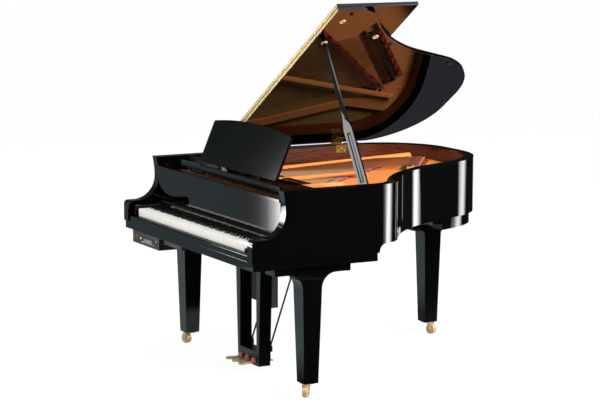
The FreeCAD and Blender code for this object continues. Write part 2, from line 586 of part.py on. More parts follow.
bridge_stations = [0, 8, 16, 24, 31, 38, 45, 52, 60, TREBLE_NOTES - 1]
long_path = [string_line(TREBLE[n], TREBLE_LEAN) for n in bridge_stations]
long_end = (long_path[-1] - long_path[-2]).normalize() * S.bridge_width
long_path = [long_path[0] + Vector(S.bridge_width, -S.bridge_width / 4, 0)] + long_path
long_path.append(long_path[-1] + long_end)
bass_path = [string_line(BASS[n], BASS_LEAN) for n in (0, 7, 13, BASS_NOTES - 1)]
bass_end = (bass_path[-1] - bass_path[0]).normalize() * S.bridge_width / 2
bass_path = [bass_path[0] - bass_end] + bass_path[1:-1] + [bass_path[-1] + bass_end]
long_top = S.treble_string_z - S.treble_wire / 2 - S.seat_gap
bass_top = S.bass_bridge_z - S.bass_wire / 2 - S.seat_gap
feature(Part.makeCompound([ribbon(long_path, S.bridge_width, soundboard_top, long_top),
                           ribbon(bass_path, S.bridge_width, soundboard_top, bass_top)]), "bridges")

# Iron plate: a sheet on a skirt, open over the soundboard, with a capo bar and struts over the strings
plate_bottom = S.plate_top - S.plate_thickness
plate_inset = inside + 2 * S.seat_gap
sheet_shape = slab(case_face(plate_inset, S.plate_front), plate_bottom, S.plate_top)
opening_half = S.case_width / 2 - S.rim_wall - S.plate_lip
opening_front = S.capo_y + S.capo_width
hitch_back = S.hitch_length - 16
hitch_line = [string_line(TREBLE[n], TREBLE_LEAN, hitch_back) for n in bridge_stations]
window = [(opening_half, opening_front), (opening_half, hitch_line[0].y)]
window += [(p.x, p.y) for p in hitch_line]
bar_front_x = S.bar_front_inset - S.case_width / 2
bar_back_x = S.bar_back_inset - S.case_width / 2
window += [(bar_back_x, hitch_line[-1].y - S.strut_width), (bar_back_x, S.bar_back), (bar_front_x, S.bar_front),
           (-opening_half, opening_front)]
opening = prism([(x, y, plate_bottom - 1) for x, y in window], (0, 0, S.plate_thickness + 2))
bass_window = ribbon([bass_path[0] - bass_end] + bass_path[1:-1] + [bass_path[-1] + bass_end],
                     S.bass_window, plate_bottom - 1, S.plate_top + 1)
plate_shape = sheet_shape.cut(opening).cut(bass_window)
skirt = slab(rim_ring(plate_inset, plate_inset + S.skirt_width, belly_back), soundboard_top, plate_bottom)
plate_shape = plate_shape.fuse(skirt)
horn = (S.horn_inset - S.case_width / 2, S.case_length - S.horn_back)
tail_window = [(-S.case_width / 2, S.bar_front), (bar_front_x - S.bar_width, S.bar_front),
               (bar_back_x - S.bar_width, S.bar_back), horn, (-S.case_width / 2, horn[1])]
plate_shape = plate_shape.cut(prism([(x, y, soundboard_top - 1) for x, y in tail_window],
                                    (0, 0, S.plate_top - soundboard_top + 2)))
for left, right, top in ((S.bass_left, S.bass_right, S.bass_capo_z - S.bass_wire / 2),
                         (S.treble_left, S.treble_right, S.treble_string_z - S.treble_wire / 2)):
    margin = 3 * S.pin_width / 2
    bar = Part.makeBox(right - left + 2 * margin, S.capo_width, top - S.seat_gap - S.plate_top,
                       Vector(left - margin, S.capo_y - S.capo_width / 2, S.plate_top))
    plate_shape = plate_shape.fuse(bar)


def strut(foot, lean, far_y):
    """A bar over the strings between two feet on the plate, before the capo and behind the hitch points."""
    bottom = S.plate_top + S.strut_lift
    top = bottom + S.strut_height
    half = S.strut_width / 2
    slope = S.capo_width
    near_y = S.capo_y - 5 * slope
    start, stop = near_y + 3 * slope, far_y - 3 * slope
    front_foot = [(near_y, S.plate_top), (near_y + 2 * slope, S.plate_top), (start, bottom), (start, top),
                  (near_y + 2 * slope, top)]
    run = [(start, bottom), (stop, bottom), (stop, top), (start, top)]
    back_foot = [(stop, bottom), (far_y - 2 * slope, S.plate_top), (far_y, S.plate_top),
                 (far_y - 2 * slope, top), (stop, top)]
    return [prism([(foot + lean * (y - S.capo_y) - half, y, z) for y, z in profile], (S.strut_width, 0, 0))
            for profile in (front_foot, run, back_foot)]


def landing(foot, lean):
    """How far back a strut reaches, past the hitch points of the strings that it crosses."""
    line = [string_line(note, TREBLE_LEAN, S.hitch_length) for note in TREBLE]
    nearest = min(line, key=lambda p: abs(p.x - foot - lean * (p.y - S.capo_y)))
    return nearest.y + S.strut_landing


STRUTS = [((S.bass_right + S.treble_left) / 2, TREBLE_LEAN), (S.middle_strut_x, S.middle_strut_lean),
          (S.right_strut_x, 0)]
wire_rooms = [wire for wires in strings(S.flap_gap) for wire in wires]
strut_parts = []
for foot, lean in STRUTS:
    for length in strut(foot, lean, landing(foot, lean)):
        for wire_room in wire_rooms:
            if wire_room.BoundBox.intersect(length.BoundBox):
                length = length.cut(wire_room)
        strut_parts.append(length)
feature(Part.makeCompound([plate_shape.removeSplitter()] + strut_parts), "iron_plate")

# Pin block under the front of the plate, and the tuning pins on it
seat(group([box(f"-{INNER_HALF}", INNER_HALF, "pin_block_front", "pin_block_back",
                "plate_top - plate_thickness - pin_block_height", "plate_top - plate_thickness")]),
     "pin_block")


def tuning_pin(at):
    half = S.pin_width / 2
    return Part.makeBox(S.pin_width, S.pin_width, S.pin_height, Vector(at.x - half, at.y - half, S.plate_top))


tuning = [tuning_pin(pin_place(i, note, TREBLE_LEAN)) for i, note in enumerate(TREBLE)]
tuning += [tuning_pin(pin_place(i, note, BASS_LEAN)) for i, note in enumerate(BASS)]
feature(Part.makeCompound(tuning), "tuning_pins")


# Dampers: a felted block on each string that rings long enough to need one

def damper(note, lean, height):
    x = note[0] + lean * (S.damper_y + S.damper_length / 2 - S.capo_y)
    return Part.makeBox(S.damper_width, S.damper_length, S.damper_height,
                        Vector(x - S.damper_width / 2, S.damper_y, height + S.seat_gap))


def clear_of_struts(note, lean):
    y = S.damper_y + S.damper_length / 2
    x = note[0] + lean * (y - S.capo_y)
    room = (S.strut_width + S.damper_width) / 2 + S.damper_room
    return all(abs(x - foot - slope * (y - S.capo_y)) > room for foot, slope in STRUTS)


damped_length = S.damper_y + 2.5 * S.damper_length - S.capo_y
bass_rise = (S.bass_bridge_z - S.bass_capo_z) / S.shortest_bass
bass_damper_z = S.bass_capo_z + bass_rise * (S.damper_y + S.damper_length - S.capo_y) + S.bass_wire / 2
damper_blocks = [damper(note, TREBLE_LEAN, S.treble_string_z + S.treble_wire / 2) for note in TREBLE
                 if note[1] > damped_length and clear_of_struts(note, TREBLE_LEAN)]
damper_blocks += [damper(note, BASS_LEAN, bass_damper_z) for note in BASS if clear_of_struts(note, BASS_LEAN)]
feature(Part.makeCompound(damper_blocks), "dampers")

# Key frame: three rails on the keybed with a ridge that the keys rock on
key_bottom = S.key_top - S.key_thickness
FRAME_HALF = "(frame_side + frame_end)"
RAIL_TOP = "key_top - key_thickness - seat_gap"
FRAME_TOP = "arm_bottom + frame_thickness"
FRONT_RAIL = "key_front + front_rail_inset"
FRONT_RAIL_TOP = f"({RAIL_TOP} - (balance_y - key_front) * sin(key_dip * 1 deg) - key_gap)"
frame_parts = [
    box(f"-{FRAME_HALF}", FRAME_HALF, FRONT_RAIL, f"{FRONT_RAIL} + rail_depth", "arm_bottom",
        FRONT_RAIL_TOP),
    box(f"-{FRAME_HALF}", FRAME_HALF, "balance_y - rail_depth / 2", "balance_y + rail_depth / 2",
        "arm_bottom", f"{RAIL_TOP} - balance_step"),
    box(f"-{FRAME_HALF}", FRAME_HALF, "balance_y - balance_ridge / 2", "balance_y + balance_ridge / 2",
        "arm_bottom", RAIL_TOP),
    box(f"-{FRAME_HALF}", FRAME_HALF, "key_back - rail_depth", "key_back", "arm_bottom", RAIL_TOP),
]
for share in ("-1", "-0.5", "0", "0.5", "1"):
    frame_parts.append(box(f"{share} * frame_side - frame_end", f"{share} * frame_side + frame_end",
                           FRONT_RAIL, "key_back", "arm_bottom", FRAME_TOP))
seat(fuse(frame_parts), "key_frame")

# Action: end brackets and rails on the key frame, with a hammer for each note
BRACKET_Y = "(action_rail_y - action_rail_section / 2)"
action_parts = []
bracket_low = "frame_side - frame_end + bracket_inset"
for low, high in ((f"-({FRAME_HALF})", f"-({bracket_low})"), (bracket_low, FRAME_HALF)):
    action_parts.append(box(low, high, BRACKET_Y, "key_back", f"{RAIL_TOP} + seat_gap",
                            "action_rail_z + action_rail_section"))
action_parts.append(box(f"-({bracket_low})", bracket_low, BRACKET_Y, f"{BRACKET_Y} + action_rail_section",
                        "action_rail_z", "action_rail_z + action_rail_section"))
action_frame = fuse(action_parts)


def hammer(x):
    half = S.hammer_width / 2
    rail_back = S.action_rail_y + S.action_rail_section / 2
    shank_z = S.action_rail_z + S.action_rail_section / 2
    near, far = S.hammer_y - S.hammer_head / 2, S.hammer_y + S.hammer_head / 2
    low, high = shank_z - S.shank_half, shank_z + S.shank_half
    tail, nose = shank_z - S.hammer_tail, S.hammer_top - S.hammer_nose
    profile = [(rail_back, low), (near, low), (near, tail), (far, tail), (far, nose),
               (S.hammer_y, S.hammer_top), (near, nose), (near, high), (rail_back, high)]
    return prism([(x - half, y, z) for y, z in profile], (S.hammer_width, 0, 0))


hammer_xs = [note[0] + lean * (S.hammer_y - S.capo_y)
             for notes, lean in ((TREBLE, TREBLE_LEAN), (BASS, BASS_LEAN)) for note in notes]
hammers = doc.addObject("Part::Feature", "hammers")
hammers.Shape = Part.makeCompound([hammer(x) for x in hammer_xs])
seat(group([action_frame, hammers]), "action")

# Keys: naturals with tails cut back for the sharps, grouped in a node for each note name
KEY_PITCH = S.key_span / NATURAL_KEYS
LETTERS = "ABCDEFG"
TAIL_SLOTS = {"C": (0, 5, 3), "D": (2, 5, 3), "E": (4, 5, 3),
              "F": (0, 7, 4), "G": (2, 7, 4), "A": (4, 7, 4), "B": (6, 7, 4)}
GROUP_START = {"C": 0, "D": 1, "E": 2, "F": 0, "G": 1, "A": 2, "B": 3}


def natural_key(i):
    letter = LETTERS[i % 7]
    left = -S.key_span / 2 + i * KEY_PITCH
    head = (left + S.key_gap / 2, left + KEY_PITCH - S.key_gap / 2)
    slot, slots, keys = TAIL_SLOTS[letter]
    origin = left - GROUP_START[letter] * KEY_PITCH
    width = keys * KEY_PITCH / slots
    tail = [origin + slot * width + S.key_gap / 2, origin + (slot + 1) * width - S.key_gap / 2]
    if i == 0:
        tail[0] = head[0]
    if i == NATURAL_KEYS - 1:
        tail[1] = head[1]
    shoulder = S.key_front + S.key_head
    ring = [(head[0], S.key_front), (head[1], S.key_front), (head[1], shoulder), (tail[1], shoulder),
            (tail[1], S.key_back), (tail[0], S.key_back), (tail[0], shoulder), (head[0], shoulder)]
    ring = [p for k, p in enumerate(ring) if p != ring[k - 1]]
    kept = []
    for k, (x, y) in enumerate(ring):
        before, after = ring[k - 1], ring[(k + 1) % len(ring)]
        if not (before[0] == x == after[0]):
            kept.append((x, y))
    return prism([(x, y, key_bottom) for x, y in kept], (0, 0, S.key_thickness))


def sharp_key(i):
    """The sharp right of natural i."""
    letter = LETTERS[i % 7]
    left = -S.key_span / 2 + i * KEY_PITCH
    slot, slots, keys = TAIL_SLOTS[letter]
    origin = left - GROUP_START[letter] * KEY_PITCH
    width = keys * KEY_PITCH / slots
    x0, x1 = origin + (slot + 1) * width + S.key_gap / 2, origin + (slot + 2) * width - S.key_gap / 2
    lever = Part.makeBox(x1 - x0, S.key_back - S.sharp_front, S.key_thickness,
                         Vector(x0, S.sharp_front, key_bottom))
    middle = (x0 + x1) / 2
    low, high = (x1 - x0) / 2 - S.sharp_shoulder, S.sharp_cap_width / 2
    top = S.key_top + S.sharp_rise

    def ring(half, y0, y1, z):
        points = [Vector(middle - half, y0, z), Vector(middle + half, y0, z),
                  Vector(middle + half, y1, z), Vector(middle - half, y1, z)]
        return Part.makePolygon(points + points[:1])

    cap = Part.makeLoft([ring(low, S.sharp_front, S.sharp_back, S.key_top),
                         ring(high, S.sharp_front + S.sharp_bevel, S.sharp_back, top)], True, True)
    return lever.fuse(cap)


for name in "cdefgab":
    keys = [natural_key(i) for i in range(NATURAL_KEYS) if LETTERS[i % 7] == name.upper()]
    feature(Part.makeCompound(keys), f"{name}_keys")
for label, letters in (("twin_sharps", "CD"), ("triple_sharps", "FGA")):
    keys = [sharp_key(i) for i in range(NATURAL_KEYS - 1) if LETTERS[i % 7] in letters]
    feature(Part.makeCompound(keys), label)

# Lid: the board over the strings, turned open about the spine
LID_AXIS = Vector(-S.case_width / 2 - S.lid_axis_out, 0, S.rim_top + S.lid_gap / 2)
LID_BOTTOM = S.rim_top + S.lid_gap
LID_TOP = LID_BOTTOM + S.lid_thickness
SPINE = -S.case_width / 2


def opened(shape):
    return rotated(shape, LID_AXIS, Vector(0, -1, 0), S.lid_angle)


def lid_face(front):
    spine_limit = Part.makeBox(2 * S.case_width, 2 * S.case_length, 2, Vector(SPINE, front, -1))
    return case_face(-S.lid_overhang, front).common(spine_limit)


feature(opened(slab(lid_face(S.lid_front), LID_BOTTOM, LID_TOP)), "lid")

# Flap: the front of the lid, folded back on top of it
flap_low = LID_TOP + S.flap_gap
flap_right = S.case_width / 2 + S.lid_overhang
flap_board = Part.makeBox(flap_right - SPINE, S.flap_depth, S.lid_thickness,
                          Vector(SPINE, S.lid_front, flap_low))
feature(opened(flap_board), "lid_flap")

# Long hinge between lid and flap: a leaf on each board's front edge and barrels that take turns
FLAP_AXIS = Vector(0, S.lid_front - S.flap_axis_out, LID_TOP + S.flap_gap / 2)
segment = (flap_right - SPINE - 2 * S.piano_margin) / S.piano_segments


def piano_leaf(low, high, tab_low, tab_high, first):
    start = SPINE + S.piano_margin
    leaf = Part.makeBox(S.piano_segments * segment, S.hinge_leaf, high - low,
                        Vector(start, S.lid_front - S.hinge_leaf, low))
    for i in range(first, int(S.piano_segments), 2):
        x = start + i * segment + S.flap_gap
        long = segment - 2 * S.flap_gap
        tab = Part.makeBox(long, S.hinge_leaf, tab_high - tab_low,
                           Vector(x, S.lid_front - S.hinge_leaf, tab_low))
        barrel = Part.makeCylinder(S.piano_barrel, long, Vector(x, FLAP_AXIS.y, FLAP_AXIS.z), Vector(1, 0, 0))
        leaf = leaf.fuse(barrel.fuse(tab))
    return leaf


leaf_edge = S.piano_barrel + 2 * S.flap_gap
lid_leaf_top = FLAP_AXIS.z - leaf_edge
flap_leaf_low = FLAP_AXIS.z + leaf_edge
lid_edge_leaf = piano_leaf(LID_BOTTOM + S.piano_leaf_inset, lid_leaf_top, lid_leaf_top, FLAP_AXIS.z, 0)
flap_leaf_top = flap_low + S.lid_thickness - S.piano_leaf_inset
flap_edge_leaf = piano_leaf(flap_leaf_low, flap_leaf_top, FLAP_AXIS.z, flap_leaf_low, 1)
feature(opened(flap_edge_leaf), "flap_hinge_leaf")

# Butt hinges at the spine: an angled leaf over the rim, a leaf under the lid and a pin through both


def barrel_piece(y0, y1):
    return Part.makeCylinder(S.hinge_barrel, y1 - y0, Vector(LID_AXIS.x, y0, LID_AXIS.z), Vector(0, 1, 0))


rim_leaves, lid_leaves = [], []
knuckle = S.hinge_length / 3
for middle in (S.hinge_front_y, S.hinge_back_y):
    y0, y1 = middle - S.hinge_length / 2, middle + S.hinge_length / 2
    reach = S.rim_wall + S.hinge_leaf
    top_leaf = Part.makeBox(reach, S.hinge_length, S.hinge_leaf, Vector(SPINE, y0, S.rim_top))
    tongue = Part.makeBox(S.lid_axis_out, knuckle, S.hinge_leaf, Vector(LID_AXIS.x, y0, S.rim_top))
    other_tongue = tongue.copy()
    other_tongue.translate(Vector(0, 2 * knuckle, 0))
    drop_leaf = Part.makeBox(S.hinge_leaf, S.hinge_length, S.hinge_drop,
                             Vector(SPINE + S.rim_wall, y0, S.rim_top - S.hinge_drop))
    pin = Part.makeCylinder(S.hinge_pin_radius, S.hinge_length, Vector(LID_AXIS.x, y0, LID_AXIS.z),
                            Vector(0, 1, 0))
    rim_leaf = top_leaf
    for piece in (drop_leaf, tongue, other_tongue, pin, barrel_piece(y0, y0 + knuckle - S.flap_gap),
                  barrel_piece(y1 - knuckle + S.flap_gap, y1)):
        rim_leaf = rim_leaf.fuse(piece)
    rim_leaves.append(rim_leaf)
    under = Part.makeBox(S.hinge_lid_reach, S.hinge_length, S.hinge_leaf,
                         Vector(SPINE, y0, LID_BOTTOM - S.hinge_leaf))
    lid_tongue = Part.makeBox(S.lid_axis_out, knuckle, S.hinge_leaf,
                              Vector(LID_AXIS.x, y0 + knuckle, LID_BOTTOM - S.hinge_leaf))
    bore = Part.makeCylinder(S.hinge_pin_radius + S.seat_gap, S.hinge_length,
                             Vector(LID_AXIS.x, y0, LID_AXIS.z), Vector(0, 1, 0))
    lid_leaf = under.fuse(lid_tongue).fuse(barrel_piece(y0 + knuckle, y1 - knuckle)).cut(bore)
    lid_leaves.append(lid_leaf)
feature(Part.makeCompound(rim_leaves), "rim_hinge_leaves")
feature(Part.makeCompound([opened(leaf) for leaf in lid_leaves + [lid_edge_leaf]]), "lid_hinge_leaves")

# Lid props: the long one from the treble side of the case to its cup on the lid, the short one in its slot
open_angle = math.radians(S.lid_angle)
LID_RUN = Vector(math.cos(open_angle), 0, math.sin(open_angle))
LID_DOWN = Vector(math.sin(open_angle), 0, -math.cos(open_angle))
lid_under = S.lid_gap / 2


def on_lid(run, y, below):
    """A point under the open lid: run from the hinge line, below its underside."""
    return LID_AXIS + LID_RUN * run + Vector(0, y, 0) + LID_DOWN * (below - lid_under)


PROP_BASE = Vector(S.prop_x, S.prop_y, S.prop_z)
PROP_TIP = on_lid(S.prop_cup_x, S.prop_cup_y, S.cup_height + S.seat_gap)
PROP_LENGTH = (PROP_TIP - PROP_BASE).Length
PROP_UP = (PROP_TIP - PROP_BASE).normalize()
stow = math.radians(S.prop_stow_turn)
PROP_STOWED = Vector(math.cos(stow), math.sin(stow), 0)
PROP_AXIS = PROP_UP.cross(PROP_STOWED).normalize()
PROP_FACE = PROP_UP.cross(PROP_AXIS)


def prop_frame(shape):
    """Move a shape from the prop's own axes (across, through, along) to its place."""
    placed = shape.copy()
    turn = FreeCAD.Rotation(PROP_AXIS, PROP_FACE.negative(), PROP_UP, "ZXY")
    placed.Placement = FreeCAD.Placement(PROP_BASE, turn)
    return placed


def prop_prism(corners, thickness):
    """Across and along corners, thick through the middle plane."""
    return prism([(a, -thickness / 2, b) for a, b in corners], (0, thickness, 0))


wide = S.prop_width / 2
rod = S.prop_rod_width / 2
neck_end = S.prop_wide_length + S.prop_neck
taper_start = PROP_LENGTH - S.prop_tip_taper
wide_part = prop_prism([(-wide, -S.prop_heel), (wide, -S.prop_heel), (wide, S.prop_wide_length),
                        (rod, neck_end), (-rod, neck_end), (-wide, S.prop_wide_length)], S.prop_thickness)
rod_part = prop_prism([(-rod, neck_end), (rod, neck_end), (rod * 0.7, taper_start), (rod * 0.4, PROP_LENGTH),
                       (-rod * 0.4, PROP_LENGTH), (-rod * 0.7, taper_start)], S.prop_rod_thickness)
slot_half = S.prop_slot_width / 2
slot_end = S.prop_wide_length - S.prop_slot_margin
slot = prop_prism([(-slot_half, S.prop_slot_start), (slot_half, S.prop_slot_start), (slot_half, slot_end),
                   (-slot_half, slot_end)], 2 * S.prop_thickness)
pin_bore = Part.makeCylinder(S.prop_pin_radius + S.seat_gap, 2 * S.prop_width,
                             Vector(-S.prop_width, 0, 0), Vector(1, 0, 0))
short_pin_z = S.prop_slot_start + S.short_pin_rise
short_pin = Part.makeCylinder(S.prop_pin_radius * 0.6, S.prop_slot_width, Vector(-slot_half, 0, short_pin_z),
                              Vector(1, 0, 0))
prop_shape = wide_part.fuse(rod_part).cut(slot).cut(pin_bore).fuse(short_pin)
feature(prop_frame(prop_shape), "lid_prop")
short_half = S.short_prop_width / 2
short_low = short_pin_z - S.short_prop_heel
short_end = slot_end - S.short_prop_margin
short_taper = short_end - S.short_prop_heel
short_bar = prop_prism([(-short_half, short_low), (short_half, short_low), (short_half, short_taper),
                        (short_half * 0.4, short_end), (-short_half * 0.4, short_end),
                        (-short_half, short_taper)], S.short_prop_thickness)
short_bore = Part.makeCylinder(S.prop_pin_radius * 0.6 + S.seat_gap, S.prop_width,
                               Vector(-S.prop_width / 2, 0, short_pin_z), Vector(1, 0, 0))
feature(prop_frame(short_bar.cut(short_bore)), "short_prop")

bracket_half = S.bracket_depth / 2
cheeks = []
for sign in (-1, 1):
    near = sign * (wide + S.prop_gap)
    far = near + sign * S.bracket_cheek
    low = min(near, far)
    cheeks.append(Part.makeBox(S.bracket_cheek, S.bracket_depth, S.bracket_reach + bracket_half,
                               Vector(low, -bracket_half, -S.bracket_reach)))
pivot_pin = Part.makeCylinder(S.prop_pin_radius, S.prop_width + 2 * (S.prop_gap + S.bracket_cheek),
                              Vector(-wide - S.prop_gap - S.bracket_cheek, 0, 0), Vector(1, 0, 0))
bracket = prop_frame(cheeks[0]).fuse(prop_frame(cheeks[1])).fuse(prop_frame(pivot_pin))
case_inside = slab(case_face(inside, belly_back), S.plate_top, S.rim_top)
bracket = bracket.common(case_inside)
foot_box = bracket.BoundBox
foot = Part.makeBox(foot_box.XLength, foot_box.YLength, S.bracket_foot,
                    Vector(foot_box.XMin, foot_box.YMin, S.plate_top))
feature(bracket.fuse(foot.common(case_inside)).removeSplitter(), "prop_bracket")


# Cups for the props and rubber buffers, all on the underside of the lid

def under_lid(radius, height, run, y):
    return Part.makeCylinder(radius, height, on_lid(run, y, 0), LID_DOWN)


cup_places = ((S.prop_cup_x, S.prop_cup_y), (S.second_cup_run, S.second_cup_y),
              (S.third_cup_run, S.third_cup_y))
feature(Part.makeCompound([under_lid(S.cup_radius, S.cup_height, *at) for at in cup_places]), "prop_cups")
buffer_places = ((S.case_width - S.rim_wall / 2, S.buffer_front_y), (S.waist_buffer_run, S.waist_buffer_y),
                 (S.bent_buffer_run, S.bent_buffer_y), (S.tail_buffer_run, S.tail_buffer_y))
feature(Part.makeCompound([under_lid(S.buffer_radius, S.buffer_height, *at) for at in buffer_places]),
        "lid_buffers")


# Legs: square, tapered, flaring into a block under the keybed or the beams

def leg(x, y, block_front, block_back, block_top, block_height, flare):
    top_half, foot_half = S.leg_top_width / 2, S.leg_foot_width / 2
    flare_z = block_top - block_height
    leg_top = flare_z - flare
    slope = math.sqrt(0.5)

    def at(dy, z):
        return Vector(x - top_half, y + dy, z)

    def flare_arc(sign):
        middle = at(sign * (top_half + flare * (1 - slope)), flare_z - flare * (1 - slope))
        ends = [at(sign * (top_half + flare), flare_z), at(sign * top_half, leg_top)]
        return Part.Arc(ends[0], middle, ends[1]).toShape(), ends

    back_arc, back_ends = flare_arc(1)
    front_arc, front_ends = flare_arc(-1)
    edges = [
        Part.makeLine(at(-block_front, block_top), at(block_back, block_top)),
        Part.makeLine(at(block_back, block_top), at(block_back, flare_z)),
        Part.makeLine(at(block_back, flare_z), back_ends[0]), back_arc,
        Part.makeLine(back_ends[1], at(foot_half, S.leg_foot)),
        Part.makeLine(at(foot_half, S.leg_foot), at(-foot_half, S.leg_foot)),
        Part.makeLine(at(-foot_half, S.leg_foot), front_ends[1]), front_arc,
        Part.makeLine(front_ends[0], at(-block_front, flare_z)),
        Part.makeLine(at(-block_front, flare_z), at(-block_front, block_top)),
    ]
    side_view = Part.Face(Part.Wire(edges)).extrude(Vector(2 * top_half, 0, 0))
    reach = block_front + block_back
    front_view = prism([(x - top_half, y - reach, block_top), (x + top_half, y - reach, block_top),
                        (x + top_half, y - reach, leg_top), (x + foot_half, y - reach, S.leg_foot),
                        (x - foot_half, y - reach, S.leg_foot), (x - top_half, y - reach, leg_top)],
                       (0, 2 * reach, 0))
    return side_view.common(front_view)


keybed_bottom = S.arm_bottom - S.keybed_thickness
front_leg = (S.leg_block_front, S.leg_block_back, keybed_bottom, S.leg_block_height, S.leg_flare)
rear_leg = (S.rear_block_front, S.rear_block_back, S.beam_bottom, S.rear_block_height, S.rear_leg_flare)
legs = [leg(-S.leg_x, S.leg_y, *front_leg), leg(S.leg_x, S.leg_y, *front_leg),
        leg(S.rear_leg_x, S.rear_leg_y, *rear_leg)]
feature(Part.makeCompound(legs), "legs")

# Casters: a plate and fork that swivel under each leg, and the roller between the fork's cheeks
FORK_INNER = "(wheel_width / 2 + wheel_gap)"
FORK_BRIDGE = "(2 * wheel_radius + fork_clearance)"
PLATE_LOW = "(leg_foot - seat_gap - caster_plate)"
CASTERS = (("left", "-leg_x", "leg_y"), ("right", "leg_x", "leg_y"), ("rear", "rear_leg_x", "rear_leg_y"))
FORK_SIDES = ((f"-{FORK_INNER} - fork_wall", f"-{FORK_INNER}"), (FORK_INNER, f"{FORK_INNER} + fork_wall"))
for corner, x, y in CASTERS:
    fork_parts = [cylinder("caster_plate_radius", "caster_plate", "0", "0", PLATE_LOW)]
    fork_parts.append(box("-2 * fork_wall", "caster_trail + fork_wall", f"-{FORK_INNER} - fork_wall",
                          f"{FORK_INNER} + fork_wall", FORK_BRIDGE, PLATE_LOW))
    for low, high in FORK_SIDES:
        fork_parts.append(box("caster_trail - 2.5 * fork_wall", "caster_trail + fork_wall", low, high,
                              "wheel_radius", FORK_BRIDGE))
        fork_parts.append(cylinder("2 * axle_radius", "fork_wall", "caster_trail", low, "wheel_radius", "Y"))
    fork_parts.append(cylinder("axle_radius", f"2 * {FORK_INNER} + 2 * fork_wall", "caster_trail",
                               f"-{FORK_INNER} - fork_wall", "wheel_radius", "Y"))
    seat(fuse(fork_parts), f"{corner}_caster_fork", x, y, "0", f"{corner}_swivel")
    roller = cylinder("wheel_radius", "wheel_width", "caster_trail", "-wheel_width / 2", "wheel_radius", "Y")
    axle_hole = cylinder("axle_radius + seat_gap", "wheel_width", "caster_trail", "-wheel_width / 2",
                         "wheel_radius", "Y")
    wheel = cut(roller, [axle_hole])
    seat(wheel, f"{corner}_caster_wheel", x, y, "0", f"{corner}_swivel")

# Lyre: a plate under the keybed, two tapered posts, the pedal box between their feet, and braces
lyre_top = keybed_bottom - S.lyre_plate
posts = [Part.makeBox(2 * S.lyre_plate_half, S.lyre_depth + 2 * S.lyre_plate_margin, S.lyre_plate,
                      Vector(-S.lyre_plate_half, S.lyre_front - S.lyre_plate_margin, lyre_top))]
for sign in (-1, 1):
    posts.append(prism([(sign * S.lyre_top_inner, S.lyre_front, lyre_top),
                        (sign * S.lyre_top_outer, S.lyre_front, lyre_top),
                        (sign * S.lyre_foot_outer, S.lyre_front, S.lyre_bottom),
                        (sign * S.lyre_foot_inner, S.lyre_front, S.lyre_bottom)], (0, S.lyre_depth, 0)))
feature(posts[0].fuse(posts[1]).fuse(posts[2]).removeSplitter(), "lyre_posts")

box_half = S.lyre_foot_inner - S.side_gap / 5
PEDALS = (("left_pedal", -1), ("middle_pedal", 0), ("right_pedal", 1))
pedal_box = Part.makeBox(2 * box_half, S.pedal_box_depth, S.pedal_box_height,
                         Vector(-box_half, S.lyre_front, S.lyre_bottom))
post_room = posts[1].fuse(posts[2])
pedal_box = pedal_box.cut(post_room)
throw = math.radians(S.pedal_throw)
front_drop = (S.pedal_pivot_y - S.lyre_front) * math.sin(throw)
back_rise = (S.lyre_front + S.pedal_box_depth - S.pedal_pivot_y) * math.sin(throw)
for _, place_number in PEDALS:
    x = place_number * S.pedal_spacing
    room = S.pedal_width / 2 + S.side_gap
    low = S.pedal_z - S.pedal_thickness - front_drop - S.side_gap
    high = S.pedal_z + max(front_drop, back_rise) + S.side_gap
    tunnel = Part.makeBox(2 * room, 2 * S.lyre_depth, high - low,
                          Vector(x - room, S.lyre_front - S.lyre_depth / 2, low))
    pedal_box = pedal_box.cut(tunnel)
pivot_z = S.pedal_z - S.pedal_thickness / 2
pedal_pin = Part.makeCylinder(S.pedal_pin_radius, 2 * box_half, Vector(-box_half, S.pedal_pivot_y, pivot_z),
                              Vector(1, 0, 0))
feature(pedal_box.fuse(pedal_pin.cut(post_room)), "pedal_box")


def pedal(x):
    """A brass lever: a broad rounded tip, a waist, and a shank through the pedal box."""
    tip, half = S.pedal_tip_width / 2, S.pedal_width / 2
    y = S.pedal_tip_y
    z = S.pedal_z - S.pedal_thickness
    toe = Part.Arc(Vector(x - tip, y + tip, z), Vector(x, y, z), Vector(x + tip, y + tip, z)).toShape()
    sides = [(x + tip, y + tip), (x + half, S.pedal_waist_y), (x + half, S.pedal_back_y),
             (x - half, S.pedal_back_y), (x - half, S.pedal_waist_y), (x - tip, y + tip)]
    edges = [toe] + [Part.makeLine(Vector(*a, z), Vector(*b, z)) for a, b in zip(sides, sides[1:])]
    lever = Part.Face(Part.Wire(edges)).extrude(Vector(0, 0, S.pedal_thickness))
    bore = Part.makeCylinder(S.pedal_pin_radius + S.seat_gap, S.pedal_width,
                             Vector(x - half, S.pedal_pivot_y, pivot_z), Vector(1, 0, 0))
    return lever.cut(bore)


for label, place_number in PEDALS:
    feature(pedal(place_number * S.pedal_spacing), label)
    PEDAL_X = f"{place_number} * pedal_spacing"
    rod_item = group([cylinder("rod_radius", f"{KEYBED_BOTTOM} - rod_top_gap - pedal_z - seat_gap",
                               PEDAL_X, "rod_y", "pedal_z + seat_gap")])
    seat(rod_item, label.replace("pedal", "pedal_rod"))

